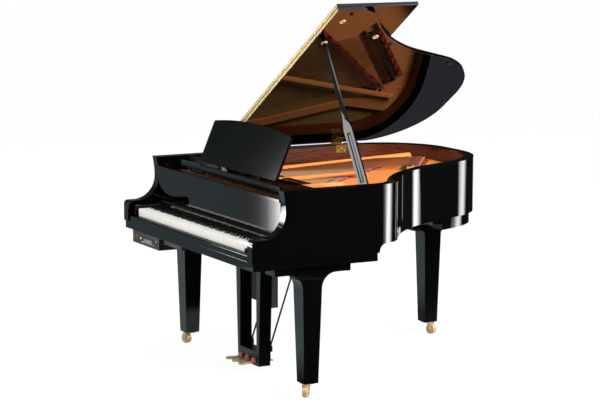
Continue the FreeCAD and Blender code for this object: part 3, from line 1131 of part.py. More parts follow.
brace_parts = []
for sign in (-1, 1):
    foot_point = Vector(sign * S.brace_x, S.lyre_front + S.lyre_depth + S.brace_radius, S.brace_foot_z)
    top_point = Vector(sign * S.brace_x, S.brace_back_y, keybed_bottom)
    rod_run = top_point - foot_point
    brace = Part.makeCylinder(S.brace_radius, rod_run.Length + S.keybed_thickness, foot_point, rod_run)
    below_keybed = Part.makeBox(S.case_width, S.case_length, keybed_bottom,
                                Vector(-S.case_width / 2, 0, 0))
    lug_box = Part.makeBox(4 * S.brace_radius, 3 * S.brace_radius, S.brace_lug_height,
                           Vector(sign * S.brace_x - 2 * S.brace_radius, S.lyre_front + S.lyre_depth,
                                  S.brace_foot_z - S.brace_lug_drop))
    brace_parts.append(brace.common(below_keybed).fuse(lug_box).cut(post_room))
feature(Part.makeCompound(brace_parts), "lyre_braces")

# Player system: control unit and its tray under the keybed, with a panel, screen, jacks, knob and button
CONTROL_LOW = f"({KEYBED_BOTTOM} - control_height)"
CONTROL_BACK = "control_front + control_depth"
CONTROL_MIDDLE = f"{CONTROL_LOW} + control_height / 2"
unit = fuse([
    box("control_left", "control_right", "control_front", CONTROL_BACK, CONTROL_LOW, KEYBED_BOTTOM),
    box("control_right", "tray_right", "control_front + tray_setback", CONTROL_BACK,
        f"{KEYBED_BOTTOM} - tray_height", KEYBED_BOTTOM)])
button_room = cylinder("control_button_radius + seat_gap", "button_tail + control_button_height",
                       "control_button_x", "control_front", CONTROL_MIDDLE, "Y")
seat(cut(unit, [button_room]), "control_unit")
PANEL_FRONT = "control_front - panel_thickness"
screen = box("screen_left", "screen_right", PANEL_FRONT, "control_front", "screen_bottom",
             "screen_bottom + screen_height")
jacks = [cylinder("jack_radius", "jack_length", f"jack_x + {i} * 3 * jack_radius",
                  "control_front - jack_length", CONTROL_MIDDLE, "Y") for i in range(2)]
knob = cylinder("knob_radius", "jack_length", "knob_x", "control_front - jack_length", CONTROL_MIDDLE, "Y")
seat(group([screen, *jacks, knob]), "control_panel_fittings")
seat(group([cylinder("control_button_radius", "control_button_height + button_tail", "control_button_x",
                     "control_front - control_button_height", CONTROL_MIDDLE, "Y")]), "control_button")

# Pedal drive: a box hung under the keybed behind the lyre
DRIVE_BACK = "drive_front + drive_depth"
seat(padded("drive_unit", "XY_Plane",
            [("drive_left", "drive_front"), ("drive_right", "drive_front"),
             ("drive_right", DRIVE_BACK), ("drive_left", DRIVE_BACK)],
            f"{KEYBED_BOTTOM} - drive_bottom", "drive_bottom"), "drive_unit")

# Recompute, test and write every piece
doc.recompute()
for item in doc.Objects:
    if "Invalid" in item.State or "Error" in item.State:
        raise RuntimeError(f"{item.Label} failed: {item.State}")
labels = [item.Label for item in NODES]
if len(set(labels)) != len(labels):
    raise RuntimeError("two sub-parts share a label")
os.makedirs("parts", exist_ok=True)
for item in NODES:
    if item.Shape.isNull() or not item.Shape.isValid() or not item.Shape.Solids:
        raise RuntimeError(f"{item.Label} has no valid solid")
    item.Shape.exportStep(os.path.join("parts", f"{item.Label}.step"))
print(len(labels), "sub-parts written")
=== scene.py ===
import math

import bmesh
import bpy
from mathutils import Matrix, Vector


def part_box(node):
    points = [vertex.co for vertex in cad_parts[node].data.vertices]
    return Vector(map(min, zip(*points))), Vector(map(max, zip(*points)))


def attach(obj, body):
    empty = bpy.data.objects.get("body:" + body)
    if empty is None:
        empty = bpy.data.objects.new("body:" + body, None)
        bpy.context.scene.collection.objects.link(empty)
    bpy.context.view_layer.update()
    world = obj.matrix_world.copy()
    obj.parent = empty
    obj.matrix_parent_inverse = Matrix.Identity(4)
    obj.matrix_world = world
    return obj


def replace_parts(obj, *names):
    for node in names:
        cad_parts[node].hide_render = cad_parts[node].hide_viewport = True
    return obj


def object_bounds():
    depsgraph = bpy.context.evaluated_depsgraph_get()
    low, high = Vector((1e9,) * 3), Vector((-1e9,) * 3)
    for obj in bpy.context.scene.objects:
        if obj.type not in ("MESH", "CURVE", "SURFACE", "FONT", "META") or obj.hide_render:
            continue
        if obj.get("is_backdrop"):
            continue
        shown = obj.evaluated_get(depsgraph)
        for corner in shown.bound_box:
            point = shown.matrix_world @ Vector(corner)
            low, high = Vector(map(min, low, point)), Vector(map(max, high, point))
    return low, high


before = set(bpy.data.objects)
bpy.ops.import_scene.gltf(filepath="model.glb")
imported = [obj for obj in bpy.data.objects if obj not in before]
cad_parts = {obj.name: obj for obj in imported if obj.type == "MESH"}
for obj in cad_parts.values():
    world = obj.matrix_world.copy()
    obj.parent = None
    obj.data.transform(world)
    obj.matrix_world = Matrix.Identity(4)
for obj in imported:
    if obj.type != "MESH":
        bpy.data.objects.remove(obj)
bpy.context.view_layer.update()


# Outer rim, with the two arms at the keyboard. A wall of thin hardwood layers, bent round a form and
# glued, then sprayed with black polyester lacquer and polished to a mirror. Its edges are eased by hand.

def linear(code):
    """An sRGB hex colour as the linear colour that a shader takes."""
    parts = [int(code[i:i + 2], 16) / 255 for i in (1, 3, 5)]
    return [c / 12.92 if c <= 0.04045 else ((c + 0.055) / 1.055) ** 2.4 for c in parts] + [1.0]


def add(tree, kind, settings=None, **inputs):
    """Add one shader node with its settings; an input is a constant or another node's output."""
    made = tree.nodes.new(kind)
    for name, value in (settings or {}).items():
        setattr(made, name, value)
    for name, value in inputs.items():
        socket = made.inputs[name.replace("_", " ")]
        if isinstance(value, bpy.types.NodeSocket):
            tree.links.new(value, socket)
        else:
            socket.default_value = value
    return made


def finish(name, colours, rough, grain, bump=0.0, stretch=(1, 1, 1), **inputs):
    """A surface whose colour and roughness wander between two values over a grain given in mm."""
    made = bpy.data.materials.new(name)
    made.use_nodes = True
    tree = made.node_tree
    shader = tree.nodes["Principled BSDF"]
    for key, value in inputs.items():
        shader.inputs[key.replace("_", " ")].default_value = value
    where = add(tree, "ShaderNodeTexCoord")
    scaled = add(tree, "ShaderNodeMapping", Vector=where.outputs["Object"],
                 Scale=[1000 * s / grain for s in stretch])
    noise = add(tree, "ShaderNodeTexNoise", Vector=scaled.outputs["Vector"], Scale=1.0, Detail=4.0)
    spread = add(tree, "ShaderNodeMapRange", Value=noise.outputs["Fac"], From_Min=0.3, From_Max=0.7)
    colour = add(tree, "ShaderNodeMixRGB", Fac=spread.outputs["Result"], Color1=linear(colours[0]),
                 Color2=linear(colours[1]))
    roughness = add(tree, "ShaderNodeMapRange", Value=noise.outputs["Fac"], From_Min=0.3, From_Max=0.7,
                    To_Min=rough[0], To_Max=rough[1])
    tree.links.new(colour.outputs["Color"], shader.inputs["Base Color"])
    tree.links.new(roughness.outputs["Result"], shader.inputs["Roughness"])
    if bump:
        relief = add(tree, "ShaderNodeBump", Distance=bump / 1000, Height=noise.outputs["Fac"])
        tree.links.new(relief.outputs["Normal"], shader.inputs["Normal"])
    return made


def dress(names, material, edge=0.0):
    """Give CAD nodes their finish and, where edge is set, ease their edges by that many mm."""
    for name in names.split():
        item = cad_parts[name]
        item.data.materials.clear()
        item.data.materials.append(material)
        if edge:
            weld = item.modifiers.new("joined_faces", "WELD")
            weld.merge_threshold = 0.00001
            eased = item.modifiers.new("eased_edges", "BEVEL")
            eased.width = edge / 1000
            eased.segments = 3
            eased.limit_method = "ANGLE"
            eased.angle_limit = math.radians(40)
            even = item.modifiers.new("even_shading", "WEIGHTED_NORMAL")
            even.weight = 100
            even.keep_sharp = False


# Deep black under a clear mirror, with the faintest unevenness of a hand-polished coat.
lacquer = finish("black_polyester_lacquer", ("#020203", "#040404"), (0.015, 0.03), 9, IOR=1.62)
dress("outer_rim", lacquer, 1.6)


# Veneer on the inside of the rim, above the plate. A sheet of mahogany 0.4 mm thick, glued to the wall
# with its grain along the bend and varnished. It is the red-brown band that shows round the strings.

CASE_LENGTH = 1.706
# Corners of the case seen from above, from the front right round to the left: x, y and the radius there.
OUTLINE = [(0.745, 0.0, 0.0), (0.745, 0.762, 0.162), (0.389, 0.980, 0.940), (0.075, 1.706, 0.447),
           (-0.745, 1.706, 0.374), (-0.745, 0.0, 0.0)]


def rounded_path(inset, front_right, front_left, z):
    """The case outline moved inward by inset, at height z, from front_right round to front_left."""
    points = [Vector((x, y)) for x, y, r in OUTLINE]
    lines = []
    for a, b in zip(points, points[1:]):
        along = (b - a).normalized()
        lines.append((a + Vector((-along.y, along.x)) * inset, along))
    corners = [Vector((lines[0][0].x, front_right))]
    for (p, u), (q, v) in zip(lines, lines[1:]):
        gap = q - p
        corners.append(p + u * ((gap.x * v.y - gap.y * v.x) / (u.x * v.y - u.y * v.x)))
    corners.append(Vector((lines[-1][0].x, front_left)))
    path = [corners[0]]
    for i in range(1, len(corners) - 1):
        into = (corners[i] - corners[i - 1]).normalized()
        out = (corners[i + 1] - corners[i]).normalized()
        turn = math.atan2(into.x * out.y - into.y * out.x, into.dot(out))
        radius = OUTLINE[i][2] - math.copysign(inset, turn)
        start = corners[i] - into * radius * math.tan(abs(turn) / 2)
        centre = start + Vector((-into.y, into.x)) * math.copysign(radius, turn)
        steps = max(6, int(math.degrees(abs(turn)) / 2))
        spoke = start - centre
        for k in range(steps + 1):
            angle = turn * k / steps
            path.append(centre + Vector((spoke.x * math.cos(angle) - spoke.y * math.sin(angle),
                                         spoke.x * math.sin(angle) + spoke.y * math.cos(angle))))
    path.append(corners[-1])
    return [Vector((p.x, p.y - CASE_LENGTH / 2, z)) for p in path]


def sweep(bm, path, profile, slot=0):
    """Carry a closed profile of (left, up) metres along a path, and shut both ends."""
    rings = []
    for i, point in enumerate(path):
        ahead = path[min(i + 1, len(path) - 1)] - path[max(i - 1, 0)]
        left = Vector((-ahead.y, ahead.x, 0)).normalized()
        rings.append([bm.verts.new(point + left * s + Vector((0, 0, u))) for s, u in profile])
    count = len(profile)
    faces = [bm.faces.new((a[k], a[(k + 1) % count], b[(k + 1) % count], b[k]))
             for a, b in zip(rings, rings[1:]) for k in range(count)]
    faces += [bm.faces.new(rings[0][::-1]), bm.faces.new(rings[-1])]
    for face in faces:
        face.material_index = slot


def piece(name, bm, materials, body, sharp=35):
    """Make a mesh into a piece of the object that moves with a body."""
    bmesh.ops.recalc_face_normals(bm, faces=bm.faces)
    mesh = bpy.data.meshes.new(name)
    bm.to_mesh(mesh)
    bm.free()
    for material in materials:
        mesh.materials.append(material)
    mesh.shade_smooth()
    mesh.set_sharp_from_angle(angle=math.radians(sharp))
    item = bpy.data.objects.new(name, mesh)
    bpy.context.scene.collection.objects.link(item)
    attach(item, body)
    return item


# Red-brown wood with long dark pores, under a thin varnish.
mahogany = finish("varnished_mahogany", ("#3C190F", "#743820"), (0.25, 0.4), 3, 0.05, (0.05, 0.05, 1))
VENEER = 0.0004
VENEER_INSET = 0.0521
VENEER_RIGHT_FRONT, VENEER_LEFT_FRONT = 0.480, 0.650
veneer_bottom, veneer_top = 0.8885, 0.9865
veneer_bm = bmesh.new()
sweep(veneer_bm, rounded_path(VENEER_INSET, VENEER_RIGHT_FRONT, VENEER_LEFT_FRONT, veneer_bottom),
      [(0, 0), (VENEER, 0), (VENEER, veneer_top - veneer_bottom), (0, veneer_top - veneer_bottom)])
piece("rim_veneer", veneer_bm, [mahogany], "case")


# Inner rim, keybed and support beams. The inner rim is a second wall of glued layers that the soundboard
# and the plate rest on; spruce beams brace it from below, and the keybed ties the arms together. Below the
# case all of it is sprayed black.

# Black paint over open grain, half matt.
ebonised = finish("ebonised_wood", ("#0A0A0A", "#121211"), (0.3, 0.42), 3, 0.08, (1, 0.06, 1), IOR=1.5)
dress("inner_rim", lacquer, 1.5)
dress("support_beams", ebonised, 2.0)
dress("keybed key_slip key_blocks", lacquer, 1.2)


# Soundboard and bridges. The board is quarter-sawn spruce, 8 mm thick with ribs below, glued to the inner
# rim; the bridges are maple, and the strings bear on them.

# Straw-coloured spruce with fine straight grain from front to back, satin varnish.
spruce = finish("varnished_spruce", ("#8E6A3C", "#A88350"), (0.3, 0.42), 2.5, 0.02, (1, 0.04, 1))
# Hard pale wood, closely grained, waxed.
maple = finish("waxed_maple", ("#B98F5A", "#CFA874"), (0.35, 0.5), 4, 0.02, (0.2, 1, 1))
dress("soundboard", spruce)
dress("bridges", maple, 1.5)
dress("pin_block", maple)


# Iron plate. One grey-iron casting in gold lacquer that holds the strings' pull. Dome-headed screws along
# its edge hold it down, and are lacquered with it.

def turned(bm, profile, matrix, steps=20, slot=0):
    """Turn a profile of (radius, height) metres about Z, and put it in place with a matrix."""
    rings = []
    for radius, height in profile:
        count = 1 if radius == 0 else steps
        rings.append([bm.verts.new(matrix @ Vector((radius * math.cos(2 * math.pi * k / steps),
                                                    radius * math.sin(2 * math.pi * k / steps), height)))
                      for k in range(count)])
    for a, b in zip(rings, rings[1:]):
        for k in range(steps):
            ring = [a[k % len(a)], a[(k + 1) % len(a)], b[(k + 1) % len(b)], b[k % len(b)]]
            face = bm.faces.new(list(dict.fromkeys(ring)))
            face.material_index = slot
    for ring in (rings[0], rings[-1]):
        if len(ring) > 1:
            face = bm.faces.new(ring)
            face.material_index = slot


# Orange-gold lacquer with a soft sheen and the grain of sand casting.
gold_paint = finish("gold_lacquered_iron", ("#C46E36", "#E29052"), (0.32, 0.46), 2.2, 0.12, IOR=1.5)
dress("iron_plate", gold_paint, 3.0)
PLATE_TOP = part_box("pin_block")[1].z + 0.012
SCREW = [(0, 0.0050), (0.0035, 0.0047), (0.0065, 0.0035), (0.0085, 0.0012), (0.0090, 0)]
SCREW_INSET, SCREW_SPACING, SCREWS_FRONT = 0.078, 0.105, 0.30
# The long straight side has screws at its front end only.
LONG_SIDE_X, LONG_SIDE_LAST_Y = -0.55, -0.07
screw_bm = bmesh.new()
edge_path = rounded_path(SCREW_INSET, SCREWS_FRONT, SCREWS_FRONT, PLATE_TOP)
walked = 0.0
for here, there in zip(edge_path, edge_path[1:]):
    step = (there - here).length
    while walked < step:
        place = here.lerp(there, walked / step)
        if place.x > LONG_SIDE_X or place.y < LONG_SIDE_LAST_Y:
            turned(screw_bm, SCREW, Matrix.Translation(place), 14)
        walked += SCREW_SPACING
    walked -= step
piece("plate_screws", screw_bm, [gold_paint], "case")


# Strings. Each treble note has three plain steel wires; the bass notes have one or two, wound with copper.
# They run from the tuning pins over the capo bar and the bridge to the hitch pins.

# Drawn steel wire, coloured warm as a painted reflection of the gold plate below it.
steel = finish("steel_wire_painted_plate_reflection", ("#B08460", "#D0A680"), (0.3, 0.45), 4, Metallic=0.6)
# Nickel-plated pins, bright on their tips.
nickel = finish("nickel_plated_steel", ("#CFCBC4", "#E6E3DD"), (0.18, 0.28), 3, Metallic=1.0)
# Copper winding, a little darkened by age.
copper = finish("copper_winding", ("#C0693C", "#DC8E5C"), (0.3, 0.42), 1.5, 0.1, Metallic=1.0)


SAME_POINT = 0.000002


def separate_solids(bm):
    """The vertices of each separate solid of a mesh."""
    bmesh.ops.remove_doubles(bm, verts=bm.verts, dist=SAME_POINT)
    found, seen = [], set()
    for first in bm.verts:
        if first in seen:
            continue
        seen.add(first)
        group, todo = [], [first]
        while todo:
            vert = todo.pop()
            group.append(vert)
            for edge in vert.link_edges:
                other = edge.other_vert(vert)
                if other not in seen:
                    seen.add(other)
                    todo.append(other)
        found.append(group)
    return found


def solids(name):
    """The corner points of each separate solid of a CAD node, in the row frame."""
    bm = bmesh.new()
    bm.from_mesh(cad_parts[name].data)
    found = [[vert.co.copy() for vert in group] for group in separate_solids(bm)]
    bm.free()
    return found


def string_paths(name):
    """Each string's stations along its length: the middles of the four corners of its CAD wire there."""
    paths = []
    for points in solids(name):
        points.sort(key=lambda p: p.y)
        groups = [points[i:i + 4] for i in range(0, len(points), 4)]
        paths.append([sum(group, Vector()) / len(group) for group in groups])
    return sorted(paths, key=lambda path: path[0].x)


def wire_profile(radius, aside):
    """Six points round a wire that runs aside from the middle of its note."""
    turns = [math.pi * k / 3 for k in range(6)]
    return [(aside + radius * math.cos(a), radius * math.sin(a)) for a in turns]


PLAIN_RADIUS, WIRE_GAP = 0.0004, 0.0026
treble_paths = string_paths("treble_strings")
wire_bm = bmesh.new()
for path in treble_paths:
    for aside in (-WIRE_GAP, 0.0, WIRE_GAP):
        sweep(wire_bm, path, wire_profile(PLAIN_RADIUS, aside))
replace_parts(piece("treble_wires", wire_bm, [steel], "case"), "treble_strings")
# The lowest notes have one wire and the others two, thinner towards the treble.
WOUND_RADIUS, WOUND_TAPER, SINGLE_NOTES = 0.0018, 0.0008, 9
bass_paths = string_paths("bass_strings")
wound_bm = bmesh.new()
for i, path in enumerate(bass_paths):
    share = i / (len(bass_paths) - 1)
    for aside in ((0.0,) if i < SINGLE_NOTES else (-WIRE_GAP, WIRE_GAP)):
        sweep(wound_bm, path, wire_profile(WOUND_RADIUS - WOUND_TAPER * share, aside))
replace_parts(piece("bass_wires", wound_bm, [copper], "case"), "bass_strings")
HITCH_PIN = [(0.0017, 0), (0.0017, 0.0075), (0, 0.009)]
PIN_BEHIND_WIRE = 0.004
hitch_bm = bmesh.new()
for path in treble_paths + bass_paths:
    foot = Vector((path[-1].x, path[-1].y + PIN_BEHIND_WIRE, PLATE_TOP))
    turned(hitch_bm, HITCH_PIN, Matrix.Translation(foot), 8)
piece("hitch_pins", hitch_bm, [nickel], "case")


# Bridge tops. The crown of each bridge is blacked with graphite so that the wires slide on it, and a pair of
# steel pins leans each wire aside as it crosses.

# Dull grey-black graphite rubbed into the wood.
graphite = finish("graphite_coat", ("#080809", "#101011"), (0.4, 0.55), 2, IOR=1.6)
CROWN = [(-0.0145, -0.0004), (0.0145, -0.0004), (0.0138, -0.0001), (-0.0138, -0.0001)]
CROWN_REACH = 0.02
BRIDGE_PIN = [(0.0017, 0), (0.0017, 0.005), (0, 0.0062)]
crown_bm = bmesh.new()
for paths, drop in ((treble_paths, 0.0006), (bass_paths, 0.0018)):
    middles = [path[2].lerp(path[3], 0.5) - Vector((0, 0, drop)) for path in paths]
    start = middles[0] + (middles[0] - middles[1]).normalized() * CROWN_REACH
    end = middles[-1] + (middles[-1] - middles[-2]).normalized() * CROWN_REACH
    sweep(crown_bm, [start] + middles + [end], CROWN)
    for path, middle in zip(paths, middles):
        along = (path[3] - path[2]).normalized()
        for step, aside in ((-0.009, 0.003), (0.009, -0.003)):
            foot = middle + along * step + Vector((aside, 0, -0.0002))
            turned(crown_bm, BRIDGE_PIN, Matrix.Translation(foot), 6, 1)
piece("bridge_crowns", crown_bm, [graphite, nickel], "case")


# Tuning pins. Blued steel pins, squared at the head for the tuner's key, driven through the plate into the
# pin block, each with three coils of its wire. The treble notes have a pin for each of their wires.

def span(points):
    """Lowest and highest corner of some points."""
    return (Vector([min(p[i] for p in points) for i in range(3)]),
            Vector([max(p[i] for p in points) for i in range(3)]))


# Dark blued steel that still shines on its edges.
blued = finish("blued_steel", ("#5A5E66", "#858A92"), (0.22, 0.35), 3, Metallic=1.0)
PIN = [(0.0033, 0), (0.0033, 0.003), (0.0043, 0.0036), (0.0034, 0.0042), (0.0043, 0.0048), (0.0034, 0.0054),
       (0.0043, 0.0060), (0.0033, 0.0068), (0.0033, 0.0190), (0.0026, 0.0205), (0.0024, 0.0270), (0, 0.0276)]
PIN_ROWS = (0, 0.015, 0.030)
TREBLE_FROM_X = -0.27
pin_bm = bmesh.new()
for points in solids("tuning_pins"):
    low, high = span(points)
    foot = Vector(((low.x + high.x) / 2, (low.y + high.y) / 2, low.z))
    for back in PIN_ROWS if foot.x > TREBLE_FROM_X else PIN_ROWS[:1]:
        turned(pin_bm, PIN, Matrix.Translation(foot + Vector((0, back, 0))), 8)
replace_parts(piece("coiled_pins", pin_bm, [blued], "case"), "tuning_pins")


# Felts among the strings. Strips of red woven felt lie on the plate under the wires before the capo bar,
# and are threaded through the wires behind the bridges, to keep them from ringing there.

def eased_strip(half, shoulder, top_half, top, bottom=0.0):
    """The section of a strip, by half widths and heights, with its two upper edges eased."""
    return [(-half, bottom), (half, bottom), (half, shoulder), (top_half, top), (-top_half, top),
            (-half, shoulder)]


# Dense red wool cloth.
red_felt = finish("red_felt", ("#8E1414", "#B8241E"), (0.9, 1.0), 0.8, 0.25, Sheen_Weight=0.4)
CAPO_FELT_Y = -0.440
CAPO_FELT_RUNS = ((-0.630, -0.275), (-0.222, 0.612))
BEHIND_BRIDGE, OVER_WIRES, BEFORE_HITCH = 0.3, 0.0006, 0.014
felt_bm = bmesh.new()
for left, right in CAPO_FELT_RUNS:
    run = [Vector((left + (right - left) * k / 12, CAPO_FELT_Y, PLATE_TOP)) for k in range(13)]
    sweep(felt_bm, run, eased_strip(0.012, 0.006, 0.009, 0.0075))
for paths in (treble_paths, bass_paths):
    run = [path[3].lerp(path[4], BEHIND_BRIDGE) + Vector((0, 0, OVER_WIRES)) for path in paths]
    sweep(felt_bm, run, eased_strip(0.006, 0.0022, 0.004, 0.0032))
for paths in (treble_paths, bass_paths):
    run = [path[4] + (path[3] - path[4]).normalized() * BEFORE_HITCH for path in paths]
    run = [Vector((point.x, point.y, PLATE_TOP)) for point in run]
    sweep(felt_bm, run, eased_strip(0.008, 0.0022, 0.006, 0.003))
piece("string_felts", felt_bm, [red_felt], "case")


# Dampers. Each of the longer notes has a black lacquered wooden head with white felt wedges glued below. They
# rest on the strings until the right pedal lifts them.

# White wool felt, soft and matt.
white_felt = finish("white_felt", ("#E2DED2", "#F0EDE4"), (0.9, 1.0), 0.8, 0.2, Sheen_Weight=0.3)
FELT_SHARE = 0.45
WEDGES = ((0.02, 0.46), (0.54, 0.98))
head_bm = bmesh.new()
for points in solids("dampers"):
    low, high = span(points)
    half = (high.x - low.x) / 2
    middle = (low.x + high.x) / 2
    tall = high.z - low.z
    felt_top = tall * FELT_SHARE
    line = [Vector((middle, low.y, low.z)), Vector((middle, high.y, low.z))]
    sweep(head_bm, line, eased_strip(half, tall * 0.9, half * 0.7, tall, felt_top))
    for first, last in WEDGES:
        wedge = [line[0].lerp(line[1], first), line[0].lerp(line[1], last)]
        sweep(head_bm, wedge, [(-half * 0.25, 0), (half * 0.25, 0), (half * 0.95, felt_top),
                               (-half * 0.95, felt_top)], 1)
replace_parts(piece("damper_heads", head_bm, [lacquer, white_felt], "dampers"), "dampers")


# Keyboard. Spruce keys with white moulded tops and fronts, and black sharps, balanced on the rails of the key
# frame under the fallboard. The action behind them, with its hammers, is maple.

# Off-white acrylic with a satin surface, slightly warm.
ivory = finish("white_key_acrylic", ("#E4E1D9", "#EBE9E3"), (0.38, 0.46), 30, IOR=1.49,
               Specular_IOR_Level=0.2)
# Black phenolic resin with a dull polish.
ebony = finish("black_key_resin", ("#0B0B0C", "#121213"), (0.22, 0.3), 8, IOR=1.5)
dress("c_keys d_keys e_keys f_keys g_keys a_keys b_keys", ivory, 0.6)
dress("twin_sharps triple_sharps", ebony, 0.9)
dress("key_frame", ebonised)
dress("action", maple)
FRONT, FRONT_DEPTH, FRONT_MARGIN = 0.0016, 0.0377, 0.0003
front_profile = [(0, 0), (FRONT, 0), (FRONT, 0.0360), (FRONT * 0.5, 0.0372), (0, 0.0372)]
for letter in "cdefgab":
    front_bm = bmesh.new()
    for points in solids(f"{letter}_keys"):
        low, high = span(points)
        nose = low.y
        ends = [p.x for p in points if p.y < nose + 0.001]
        sides = (max(ends) - FRONT_MARGIN, min(ends) + FRONT_MARGIN)
        sweep(front_bm, [Vector((x, nose, high.z - FRONT_DEPTH)) for x in sides], front_profile)
    piece(f"{letter}_key_fronts", front_bm, [ivory], f"{letter}_keys")
# A batten in black felt, from arm to arm, closes the gap above the keys. It is dead matt.
black_felt = finish("black_felt", ("#030303", "#070707"), (0.9, 1.0), 0.8, 0.2, Specular_IOR_Level=0.2)
BATTEN_Y, BATTEN_HALF = -0.668, 0.6928
batten_bm = bmesh.new()
sharp_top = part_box("twin_sharps")[1].z
batten_run = [Vector((x, BATTEN_Y, sharp_top)) for x in (-BATTEN_HALF, BATTEN_HALF)]
sweep(batten_bm, batten_run, eased_strip(0.004, 0.0150, 0.003, 0.0160, 0.0020))
piece("nameboard_batten", batten_bm, [black_felt], "case")


# Fallboard, music shelf and music desk. Lacquered boards: the fallboard turns on pins in the arms, the shelf
# slides on rails inside them and the desk leans on its stay. The desk is rubbed to a satin.

# Black with a soft wide sheen instead of a mirror.
satin = finish("satin_black_lacquer", ("#060707", "#090A0A"), (0.1, 0.14), 12, IOR=1.55)
dress("fallboard", lacquer, 1.5)
dress("shelf_rails music_shelf", lacquer, 1.0)
dress("music_desk desk_stay", satin, 2.0)


# Lid and its front flap. Two lacquered boards joined by a long brass hinge, the flap folded back on the lid.
# The lid hangs on two brass butt hinges at the spine.

# Lacquered yellow brass, bright and a little warm, brushed enough to catch light from all sides.
brass = finish("polished_brass", ("#D8B988", "#E8D0A8"), (0.3, 0.42), 18, Metallic=0.55)
# The same metal in a darker brown.
dark_brown_brass = finish("dark_brown_brass", ("#80561E", "#B88C48"), (0.3, 0.45), 7, 0.05, Metallic=0.6)
# Pale brass strip, drawn and satin finished.
strip_brass = finish("satin_brass_strip", ("#E6CC92", "#F3DFB2"), (0.38, 0.5), 6, 0.02, (1, 0.1, 1),
                     Metallic=1.0)
dress("lid lid_flap", lacquer, 2.5)


def copied(bm, name, wanted):
    """Copy the solids of a CAD node whose lowest and highest corners pass a test."""
    source = bmesh.new()
    source.from_mesh(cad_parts[name].data)
    for group in separate_solids(source):
        if not wanted(*span([vert.co for vert in group])):
            continue
        made = {vert: bm.verts.new(vert.co) for vert in group}
        for face in dict.fromkeys(face for vert in group for face in vert.link_faces):
            bm.faces.new([made[vert] for vert in face.verts])
    source.free()


LONG_HINGE_BACK = -0.2


def long_strip(low, high):
    """Whether a hinge solid belongs to the long hinge between the lid and its flap."""
    return high.y < LONG_HINGE_BACK


def butt_leaf(low, high):
    """Whether a hinge solid belongs to a butt hinge at the spine."""
    return high.y >= LONG_HINGE_BACK


for leaf_name, node, test, metal, body in (
        ("long_hinge_lid_half", "lid_hinge_leaves", long_strip, strip_brass, "lid"),
        ("butt_hinge_lid_leaves", "lid_hinge_leaves", butt_leaf, dark_brown_brass, "lid"),
        ("butt_hinge_rim_leaves", "rim_hinge_leaves", butt_leaf, dark_brown_brass, "case")):
    leaf_bm = bmesh.new()
    copied(leaf_bm, node, test)
    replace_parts(piece(leaf_name, leaf_bm, [metal], body), node)
dress("flap_hinge_leaf", strip_brass)
# A thin black strip lies on the rim under the lid's edge, in three runs between and beyond the hinges.
RIM_TOP, STRIP_X = 0.990, -0.731
STRIP = [(0, 0), (0.012, 0), (0.012, 0.0050), (0.010, 0.0056), (0.002, 0.0056), (0, 0.0050)]
spine_bm = bmesh.new()
for front, back in ((-0.280, -0.190), (-0.116, 0.355), (0.429, 0.520)):
    sweep(spine_bm, [Vector((STRIP_X, y, RIM_TOP)) for y in (front, back)], STRIP)
piece("spine_strip", spine_bm, [ebonised], "case")
# Domed screws hold each rim leaf to the inside of the wall.
HINGE_SCREW = [(0.0048, 0), (0.0046, 0.0008), (0.0030, 0.0017), (0, 0.0020)]
HINGE_SCREW_PLACES = ((0.2, 0.012), (0.5, 0.024), (0.8, 0.012))
hinge_screw_bm = bmesh.new()
inward = Matrix.Rotation(math.pi / 2, 4, "Y")
for points in solids("rim_hinge_leaves"):
    low, high = span(points)
    for share, up in HINGE_SCREW_PLACES:
        place = Vector((high.x, low.y + (high.y - low.y) * share, low.z + up))
        turned(hinge_screw_bm, HINGE_SCREW, Matrix.Translation(place) @ inward, 14)
piece("hinge_screws", hinge_screw_bm, [brass], "case")


# Props, cups and buffers. The long black prop turns in a brass bracket and stands in a brass cup under the
# lid, with the short prop in its slot; rubber buffers keep the lid off the rim when it is shut.

# Black rubber, dull.
rubber = finish("black_rubber", ("#141414", "#1E1E1E"), (0.6, 0.75), 4, 0.05)
dress("lid_prop short_prop", lacquer, 1.5)
dress("prop_bracket", brass, 0.8)
LID_ANGLE = math.radians(32.05)
lid_down = Vector((math.sin(LID_ANGLE), 0, -math.cos(LID_ANGLE)))
lid_run = Vector((math.cos(LID_ANGLE), 0, math.sin(LID_ANGLE)))


def under_lid(points, height):
    """A matrix whose Z points down out of the lid, at the upper end of a disc of that height."""
    middle = sum(points, Vector()) / len(points)
    turn = Matrix((lid_run, Vector((0, -1, 0)), lid_down)).transposed().to_4x4()
    return Matrix.Translation(middle - lid_down * height / 2) @ turn


CUP_HEIGHT, BUFFER_HEIGHT = 0.0050, 0.0066
CUP = [(0.0170, 0), (0.0168, 0.0022), (0.0150, 0.0042), (0.0125, CUP_HEIGHT), (0.0105, 0.0044),
       (0.0085, 0.0020), (0.0050, 0.0012), (0, 0.0010)]
BUFFER = [(0.0110, 0), (0.0109, 0.0030), (0.0095, 0.0054), (0.0060, 0.0064), (0, BUFFER_HEIGHT)]
cup_bm = bmesh.new()
for points in solids("prop_cups"):
    turned(cup_bm, CUP, under_lid(points, CUP_HEIGHT), 28)
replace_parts(piece("prop_sockets", cup_bm, [brass], "lid"), "prop_cups")
buffer_bm = bmesh.new()
for points in solids("lid_buffers"):
    turned(buffer_bm, BUFFER, under_lid(points, BUFFER_HEIGHT), 20)
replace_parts(piece("rubber_buffers", buffer_bm, [rubber], "lid"), "lid_buffers")


# Legs and casters. Tapered square legs in the case's lacquer on blocks under the keybed and the tail, with
# brass wheels in swivelling brass forks.

dress("legs", lacquer, 2.0)
dress("left_caster_fork right_caster_fork rear_caster_fork", brass, 1.2)
dress("left_caster_wheel right_caster_wheel rear_caster_wheel", brass, 2.0)


# Lyre and pedals. Lacquered posts carry the pedal box, steel braces steady it from behind, and rods lead up
# from three cast brass pedals that rock on red felt in the box.

